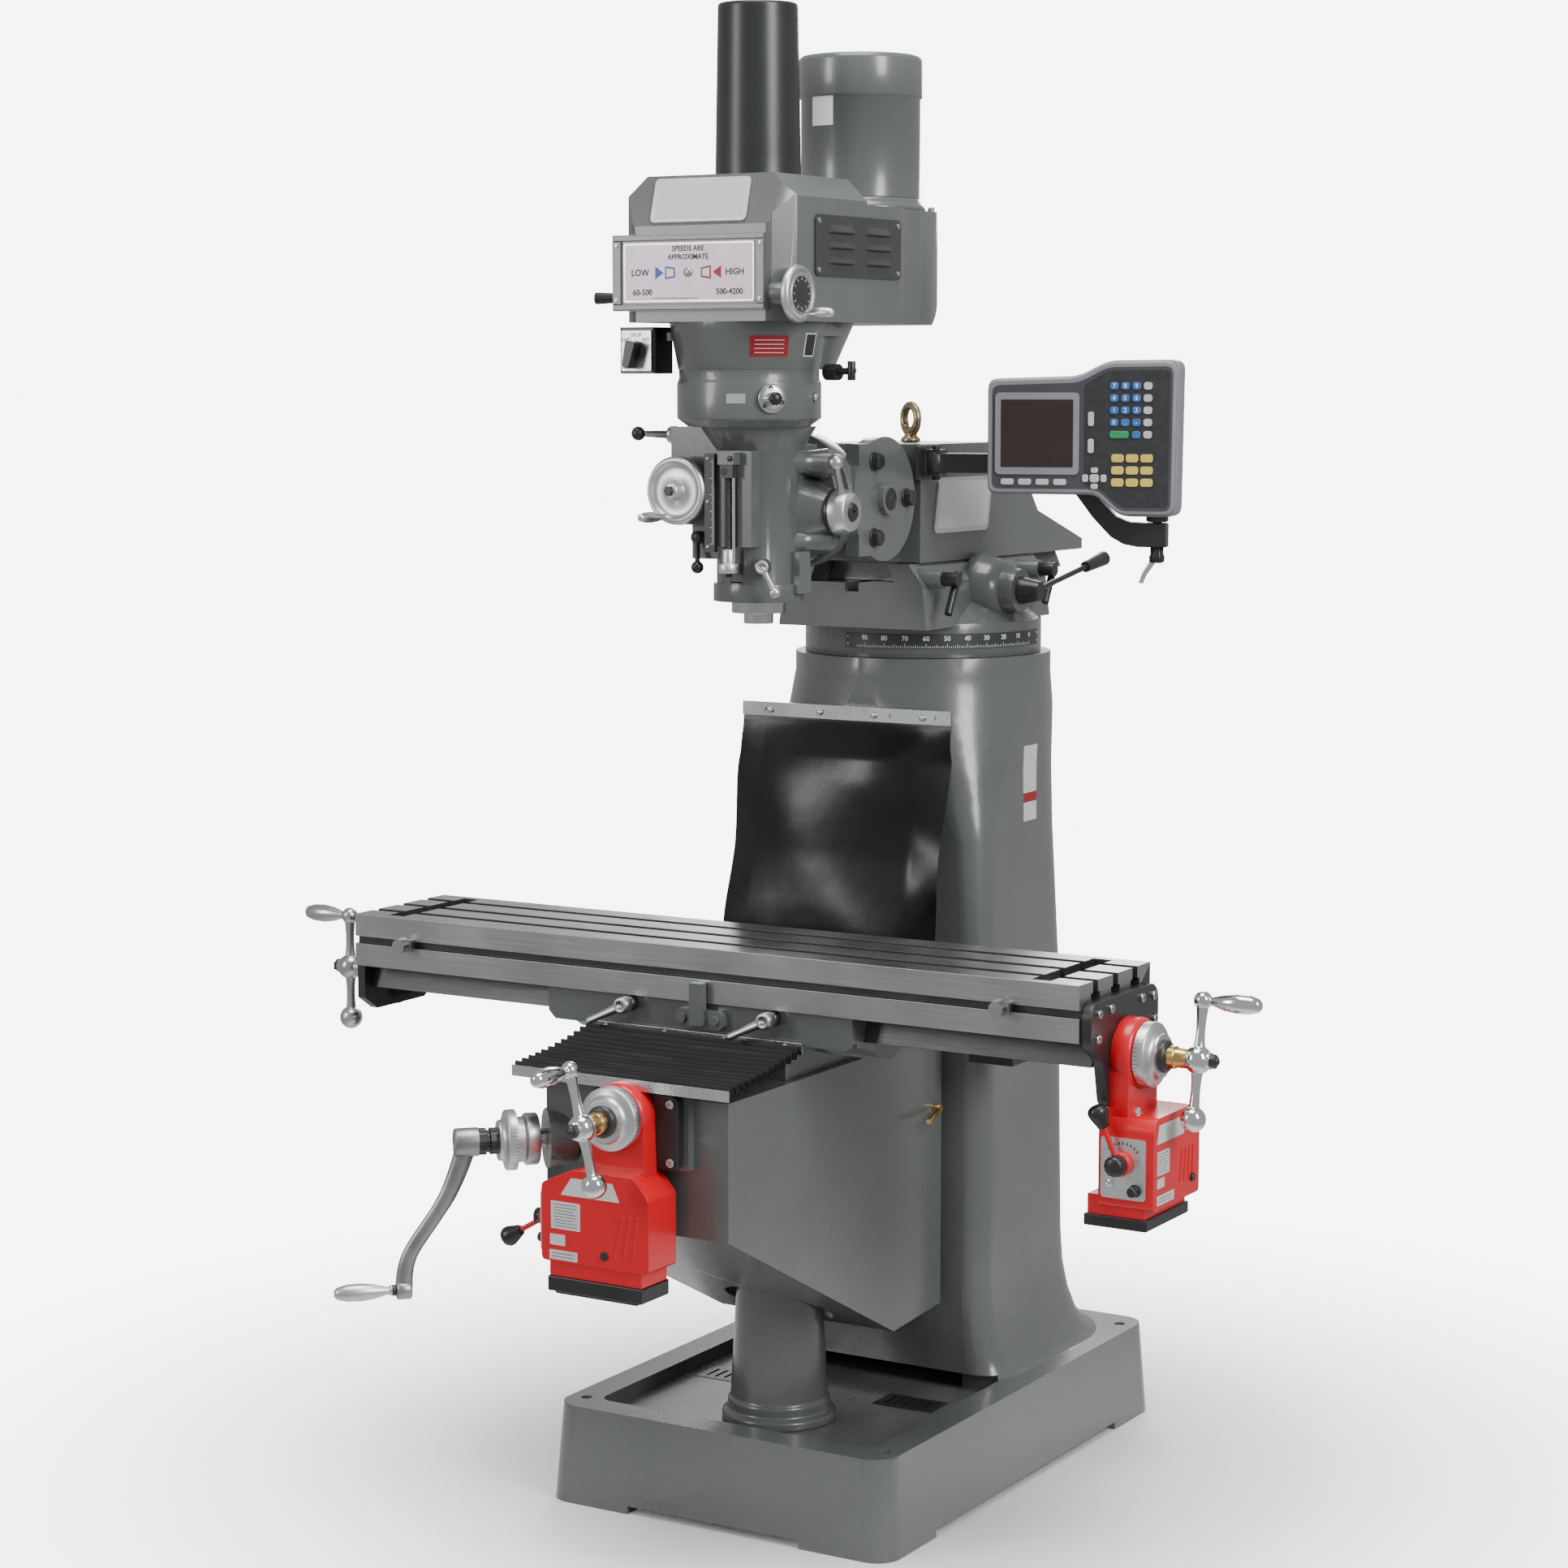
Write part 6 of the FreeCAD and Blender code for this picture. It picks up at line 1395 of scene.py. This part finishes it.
# ------------------------------------------------------------------ head details
def wrapped(shape, centre, facing_angle, foot, tall, radii, width, material, proud=0.6):
    """A thin plate wrapped round an upright drum or cone; radii are at its foot and head."""
    columns = 12
    points, faces = [], []
    for column in range(columns + 1):
        turn = facing_angle + width / radii[0] * (column / columns - 0.5)
        for z, radius, out in ((foot, radii[0], -1), (foot, radii[0], proud),
                               (foot + tall, radii[1], proud), (foot + tall, radii[1], -1)):
            points.append((centre[0] + (radius + out) * math.cos(turn),
                           centre[1] + (radius + out) * math.sin(turn), z))
    for column in range(columns):
        base = column * 4
        faces += [(base + row, base + 4 + row, base + 4 + (row + 1) % 4, base + (row + 1) % 4)
                  for row in range(4)]
    faces += [(3, 2, 1, 0), tuple(columns * 4 + row for row in range(4))]
    shape.add(points, faces, material)


def quill_stop():
    """The depth stop in the quill's front slot: screw, guide rod, nut, top block and scale."""
    face = corners("quill_stop_screw")[1].y - 5
    y = face - 8
    slot = Shape()
    # Painted shade: black blocks at the back of the quill's slot, standing in for the shade in the recess.
    slot.block(-10.8, 10.8, face + 0.6, face + 8, 1472, 1582, BLACK_STEEL)
    slot.block(-10.8, 10.8, face + 16, face + 22, 1418, 1474, BLACK_STEEL)
    slot.write("quill_slot_painted_shade", "head")
    stop = Shape()
    stop.lathe([(5.6 if row % 2 else 4.7, row * 1.5) for row in range(112)], (0, y, 1426),
               UP, BLACK_STEEL, sides=24)
    stop.lathe([(2.7, 0), (2.7, 150)], (9.4, y - 1, 1440), UP, CHROME, sides=24)
    stop.lathe([(14, 0), (15, 1), (15, 13), (14, 14), (9.4, 14.2), (9.4, 34), (8.4, 35)],
               (0, y, 1432), UP, ALUMINIUM, sides=72,
               flute=knurl(0.015, 30, end=13.5))
    stop.block(-13, 15, y - 10, face + 1, 1590, 1608, ENAMEL)
    stop.block(-10, 12, y - 8, face + 1, 1571, 1590, BLACK_STEEL)
    stop.lathe([(4.2, 0), (4.2, 1.6), (3.4, 2.2)], (9, y - 10, 1599), FRONT, BLACK_STEEL,
               sides=28)
    stop.lathe([(5.5, 0), (5.5, 0.8)], (-3, y - 8, 1580), FRONT, DARK_INK_AND_SHADE, sides=28)
    stop.write("quill_depth_stop", "head", bevel=0.5, angle=50, replaces=["quill_stop_screw"])
    scale = Shape()
    scale.block(-41, -24, face - 9, face, 1462, 1606, BLACK_PLATE)
    for step in range(52):
        z = 1474 + step * 2.4
        long = 7 if step % 10 == 0 else 5 if step % 5 == 0 else 3.2
        scale.block(-24.6 - long, -24.6, face - 9.25, face - 8.9, z - 0.3, z + 0.3, PALE_INK)
    for z in (1470, 1536, 1599):
        cap_screw(scale, (-36, face - 9, z), FRONT, 2.6, 1.4, STEEL)
    scale.write("quill_depth_scale", "head")


def feed_selector():
    """The feed-rate selector: screwed steel disc, short pointer arm and black knob."""
    spot = joint_spot("feed_selector_turn")
    turn = math.radians(49)
    out = Vector((math.sin(turn), -math.cos(turn), 0))
    plane = facing(out, spot)
    knob = Shape()
    knob.lathe([(21, 0.2), (21, 4), (20, 5.2), (13, 6), (0.5, 6.2)], spot, out, STEEL, sides=64)
    for angle in (100, 220, 340):
        at = plane @ Vector((15.5 * math.cos(math.radians(angle)),
                             15.5 * math.sin(math.radians(angle)), 5))
        cap_screw(knob, at, out, 3.4, 1.8, BLACK_STEEL)
    knob.lathe([(10, 0), (9, 9), (0.5, 9.5)], spot + out * 5.5, out, STEEL, sides=40)
    knob.sweep([plane @ Vector((-i * 2.2, 0, 11)) for i in range(9)],
               [4.6 - 0.14 * i for i in range(9)], STEEL, sides=20)
    knob.lathe([(7.4, 0), (9.2, 2), (9.4, 8), (7.4, 11.6), (0.5, 12.4)], spot + out * 14, out,
               PLASTIC, sides=48, flute=knurl(0.04, 12))
    knob.write("feed_selector_knob", "feed_selector", replaces=["feed_selector"])


def head_plates():
    """The blank plates and labels on the gear housing, and its oil cup."""
    axis = (0, joint_spot("feed_selector_turn").y + 106.5 * math.cos(math.radians(49)))
    small = Shape()
    wrapped(small, axis, math.radians(-90 + 21), 1679, 14, (106, 106), 28, SILVER)
    small.lathe([(6, 0), (6, 5), (4.5, 7), (0.5, 7.5)],
                (axis[0] + 105, axis[1] + 8, 1688), RIGHT, STEEL, sides=28)
    small.write("gear_housing_plate", "head")
    red = Shape()
    wrapped(red, axis, math.radians(-90 + 47), 1746, 30, (107.4, 113.2), 56, RED_INK, 0.7)
    for z, radius in ((1751, 108.4), (1757, 109.5), (1763, 110.7), (1769, 111.8)):
        wrapped(red, axis, math.radians(-90 + 47), z, 1.1, (radius, radius + 0.15), 44,
                LABEL, 0.85)
    red.write("gear_housing_blank_label", "head")
    side = Shape()
    wrapped(side, axis, math.radians(-90 + 84), 1746, 34, (107.4, 113.9), 24, LABEL, 0.7)
    wrapped(side, axis, math.radians(-90 + 84), 1748, 30, (107.8, 113.6), 20, DARK_INK_AND_SHADE, 0.85)
    side.write("gear_housing_side_label", "head")


def switch():
    """The reversing switch's face plate and its black turn knob."""
    spot = joint_spot("switch_turn")
    spot.y = corners("switch_box")[0].y
    plane = front_plane(*spot)
    plate = Shape()
    plate.prism(rounded(-26, 26, -28, 31, 2), 0.1, 1.0, SILVER, plane)
    for words, x, z in (("FWD", -17, 17), ("STOP", 0, 24), ("REV", 17, 17)):
        plate.text(words, 7.5, plane @ Matrix.Translation((x, z, 1.0)), DARK_INK_AND_SHADE, 0.2)
    plate.write("switch_face_plate", "head")
    knob = Shape()
    knob.lathe([(16, 1.2), (16, 7), (14.5, 9), (0.5, 9.4)], spot, FRONT, PLASTIC, sides=64)
    grip = [(-9, 15), (9, 15), (6.5, -22), (3, -25), (-3, -25), (-6.5, -22)]
    tilt = plane @ Matrix.Rotation(math.radians(-14), 4, "Z")
    knob.prism(round_outline(grip, 4), 2, 23, PLASTIC, tilt)
    knob.write("switch_turn_knob", "switch_knob", bevel=1.6, segments=3, replaces=["switch_knob"])


def quill_hub():
    """The quill feed's bright hub with its black ring, centre bolt and ball lever."""
    axis = joint_spot("quill_lever_turn")
    left = corners("quill_feed_lever")[0].x
    x = axis.x + 0.8
    hub = Shape()
    hub.lathe([(8, 0), (8, 112)], (left, axis.y, axis.z), RIGHT, STEEL, sides=40)
    hub.lathe([(35, 0), (35, 5)], (x, axis.y, axis.z), RIGHT, BLACK_STEEL, sides=80)
    hub.lathe([(32, 5), (34, 5.4), (34, 15), (33, 18), (30, 25), (28.5, 29), (27, 30), (14.5, 30.4),
               (13.5, 29)], (x, axis.y, axis.z), RIGHT, ALUMINIUM, sides=96)
    hub.lathe([(13.4, 26), (13.4, 31), (12, 33), (4, 33), (3.6, 31), (0.5, 31)],
              (x, axis.y, axis.z), RIGHT, BLACK_STEEL, sides=56)
    lean = Vector((0.05, -0.42, 0.9)).normalized()
    foot = Vector((x + 17, axis.y, axis.z)) + lean * 24
    hub.sweep([foot + lean * i * 5.6 for i in range(10)],
              [6.4, 6.0, 5.6, 5.2, 4.9, 4.7, 4.6, 4.6, 4.7, 4.9], LEVER_METAL, sides=28)
    hub.ball(foot + lean * 58, 12, LEVER_METAL)
    hub.write("quill_feed_hub", "quill_feed_lever", bevel=0.3, angle=50,
              replaces=["quill_feed_lever"])


def head_levers():
    """The small ball levers on the head's front and left side."""
    lever = Shape()
    hub = joint_spot("feed_engage_swing")
    lever.lathe([(13, 0.2), (13, 9), (11.5, 12), (0.5, 12.4)], hub, LEFT, STEEL, sides=48)
    lean = Vector((-0.6, -0.8, 0.04)).normalized()
    foot = hub + Vector((-8, -2, 0))
    lever.sweep([foot + lean * i * 5 for i in range(10)], [6.4 - 0.22 * i for i in range(10)],
                LEVER_METAL, sides=24)
    lever.ball(foot + lean * 52, 10.5, PLASTIC)
    lever.write("feed_engage_ball_lever", "feed_engage_lever", replaces=["feed_engage_lever"])
    trip = Shape()
    hub = joint_spot("feed_trip_swing")
    trip.lathe([(9, 0.2), (9, 12), (7.5, 14), (0.5, 14.2)], hub, FRONT, BLACK_STEEL, sides=40)
    lean = Vector((0.16, -0.25, -0.9)).normalized()
    foot = hub + Vector((0, -8, 0))
    trip.sweep([foot + lean * i * 5 for i in range(9)], [4.4 - 0.1 * i for i in range(9)],
               BLACK_STEEL, sides=20)
    trip.ball(foot + lean * 46, 9.4, PLASTIC)
    trip.write("feed_trip_ball_lever", "feed_trip_lever", replaces=["feed_trip_lever"])
    lock = Shape()
    hub = joint_spot("quill_lock_turn")
    out = Vector((0.50262, -0.864507, 0))
    lock.lathe([(12, -1), (12, 5)], hub, out, BLACK_STEEL, sides=40)
    lock.lathe([(9.6, 5), (10, 6), (10, 17), (8.8, 18.4), (5.2, 18.4), (4.8, 15), (0.5, 15)],
               hub, out, LEVER_METAL, sides=48)
    lean = Vector((0.45, 0.1, -0.85)).normalized()
    foot = hub + out * 11
    lock.sweep([foot + lean * i * 4.4 for i in range(10)],
               [6.8, 6.2, 5.4, 4.8, 4.4, 4.2, 4.2, 4.4, 4.8, 5.2], LEVER_METAL, sides=24)
    lock.ball(foot + lean * 42, 9, LEVER_METAL)
    lock.write("quill_lock_ball_lever", "quill_lock_lever", replaces=["quill_lock_lever"])


def housing_webs():
    """The cast swells between the quill tube, the swivel flange and the feed boss."""
    axis = joint_spot("quill_lever_turn")
    swivel = joint_spot("head_swivel")
    web = Shape()
    web.lathe([(56, 0), (46, 14), (39, 28), (34, 40), (31, 46)], (52, axis.y, axis.z), RIGHT,
              ENAMEL, sides=72)
    for side in (-1, 1):
        for rise in (-1, 1):
            z = swivel.z + rise * 55
            path = [(side * (38 + 4.4 * i), -318 + 5.6 * i, z + rise * (6 - i * 0.6))
                    for i in range(11)]
            web.sweep(path, [17 + 1.1 * abs(i - 5) ** 1.1 for i in range(11)], ENAMEL, sides=28)
            web.lathe([(22, 0), (19, 6), (17, 12), (13.5, 13), (13, 4)],
                      (side * 76, -254, z), FRONT, ENAMEL, sides=48)
            web.lathe(hex_profile(11, 17), (side * 76, -262, z), FRONT, BLACK_STEEL, sides=6)
    for step in range(2):
        web.block(-60 + step * 4, 60 - step * 4, -290 + step * 30, -262 + step * 10, 1446, 1452,
                  ENAMEL)
    web.block(58, 78, -330, -296, 1400, 1462, ENAMEL, taper=2)
    web.write("quill_housing_webs", "head", bevel=1.2, segments=3, angle=50)


def adapter_fittings():
    """Black bolts and pivot plugs on the adapter's nod cheeks."""
    nod = joint_spot("head_nod")
    bolts = Shape()
    for side in (-1, 1):
        along_x = (side, 0, 0)
        for angle in (0, 120, 240):
            spot = (side * 104.5, nod.y + 66 * math.cos(math.radians(angle)),
                    nod.z + 66 * math.sin(math.radians(angle)))
            bolts.lathe([(14.5, 0), (14.5, 1.6), (13.5, 2.4)], spot, along_x, BLACK_STEEL, sides=40)
            bolts.lathe(hex_profile(12.2, 13), spot, along_x, BLACK_STEEL, sides=6)
        bolts.lathe([(17, 0), (17, 1), (15.5, 1.8), (12.4, 1.8), (12, 1), (5, 1), (4.4, 2),
                     (0.5, 2)], (side * 114.8, nod.y, nod.z), along_x, BLACK_STEEL, sides=64)
    bolts.write("adapter_bolts", "adapter", bevel=0.4)


def column_label():
    """A pale blank label with a red band, laid on the column's right side."""
    strip = Shape()
    casting = frame["nodes"]["column_base_casting"]
    outside, tall, wide = 0.6, 9, 7
    rows = []
    for row in range(tall):
        line = []
        for step in range(wide):
            start = Vector((outside, (150 + step * 8) * MM, (1018 + row * 15) * MM))
            _, spot, normal, _ = casting.ray_cast(start, Vector(LEFT))
            line.append((spot / MM, normal))
        rows.append(line)
    for proud, first, last, material in ((0.9, 0, 8, LABEL), (1.1, 2, 3, RED_INK)):
        picked = rows[first:last + 1]
        points = [spot + normal * out for out in (proud, -1.0) for line in picked
                  for spot, normal in line]
        tall = len(picked)
        half = wide * tall
        faces = []
        for r in range(tall - 1):
            for c in range(wide - 1):
                a, b = r * wide + c, (r + 1) * wide + c
                faces += [(a, a + 1, b + 1, b), (half + b, half + b + 1, half + a + 1, half + a)]
        rim = list(range(wide)) + [r * wide + wide - 1 for r in range(1, tall)]
        rim += [(tall - 1) * wide + c for c in range(wide - 2, -1, -1)]
        rim += [r * wide for r in range(tall - 2, 0, -1)]
        faces += [(rim[i], rim[i - 1], half + rim[i - 1], half + rim[i]) for i in range(len(rim))]
        strip.add(points, faces, material)
    strip.write("column_blank_label", "frame")


def strip_screws():
    """The slotted screws of the way cover's strip; each slot is a dark bar of painted shade."""
    low, high = corners("way_cover_strip")
    screws = Shape()
    for share in (0.14, 0.38, 0.64, 0.87):
        x = low.x + (high.x - low.x) * share
        screws.lathe([(4.6, 0), (4.4, 1), (3, 2), (0.4, 2.4)], (x, low.y, low.z + 10), FRONT,
                     CHROME, sides=28)
        # Painted shade: a thin dark bar across the head where the slot's recess would lie in shade.
        screws.block(x - 3, x + 3, low.y - 2.5, low.y - 1.9, low.z + 9.6, low.z + 10.4, DARK_INK_AND_SHADE)
    screws.write("way_cover_screws", "frame")


def bearing_cap():
    """The rounded bearing housing under the table's left end."""
    right = corners("table_end_bracket")[1].x
    axis = joint_spot("table_screw_turn")
    cap = Shape()
    cap.lathe([(46, 0), (50, 3), (50, 18), (46, 22), (43, 24), (41, 40), (38, 43.5), (15.4, 43.5)],
              (right, axis.y, axis.z), LEFT, BLACK_STEEL, sides=80)
    cap.write("table_end_bearing", "table", bevel=0.8)


# ------------------------------------------------------------------ carried-over CAD
ROUNDING = {"enamel": 2.4, "red_enamel": 2.0, "steel": 0.7, "chrome": 0.8, "aluminium": 0.8,
            "black_steel": 0.8, "black_plate": 0.6, "black_plastic": 0.9, "rubber": 0.6,
            "zinc": 0.6, "brass": 0.4, "display_case": 1.5}


def shade_table(table):
    """Painted shade: a darker steel on the table's slots, front groove, end faces and underside, where shade
    falls; under the table it also stands in part for the dovetail's darker steel.
    """
    table.data.materials.append(SHADED)
    low, high = corners("table")
    for face in table.data.polygons:
        spot = face.center / MM
        inside = low.y + 4 < spot.y < high.y - 4 and abs(spot.x) < high.x - 1
        slot = inside and spot.z < high.z - 3
        groove = low.z + 72 < spot.z < low.z + 90 and spot.y > low.y + 2
        # Painted shade: faces in the slots, in the front groove and in the bottom 40 mm take the darker steel.
        if slot or groove or spot.z < low.z + 40:
            face.material_index = 1


def dress_cad():
    """Give every CAD node its surface and round its edges."""
    for name, thing in frame["nodes"].items():
        slot = slot_of_node[name]
        material = GROUND if name in ("table", "table_stop_dogs") else SLOTS[slot]
        thing.data.materials.clear()
        thing.data.materials.append(material)
        for face in thing.data.polygons:
            face.material_index = 0
        if name == "table":
            shade_table(thing)
        join = thing.modifiers.new("join", "WELD")
        join.merge_threshold = 0.02 * MM
        edges = thing.modifiers.new("edges", "BEVEL")
        edges.width = ROUNDING[slot] * MM
        edges.segments = 3
        edges.limit_method = "ANGLE"
        edges.angle_limit = math.radians(38)
        edges.harden_normals = True


for build in (add_camera, scale_cable, add_studio, add_floor, way_cover, bellows, display, arm,
              degree_scale, badge, eyebolt, turret, front_plates, front_frame, louvres, motor,
              drawbar_tube, handwheels, y_feed, x_feed, knee_crank, lock_levers, quill_stop,
              feed_selector, head_plates, switch, quill_hub, housing_webs, head_levers,
              adapter_fittings, column_label, strip_screws, bearing_cap, dress_cad):
    build()
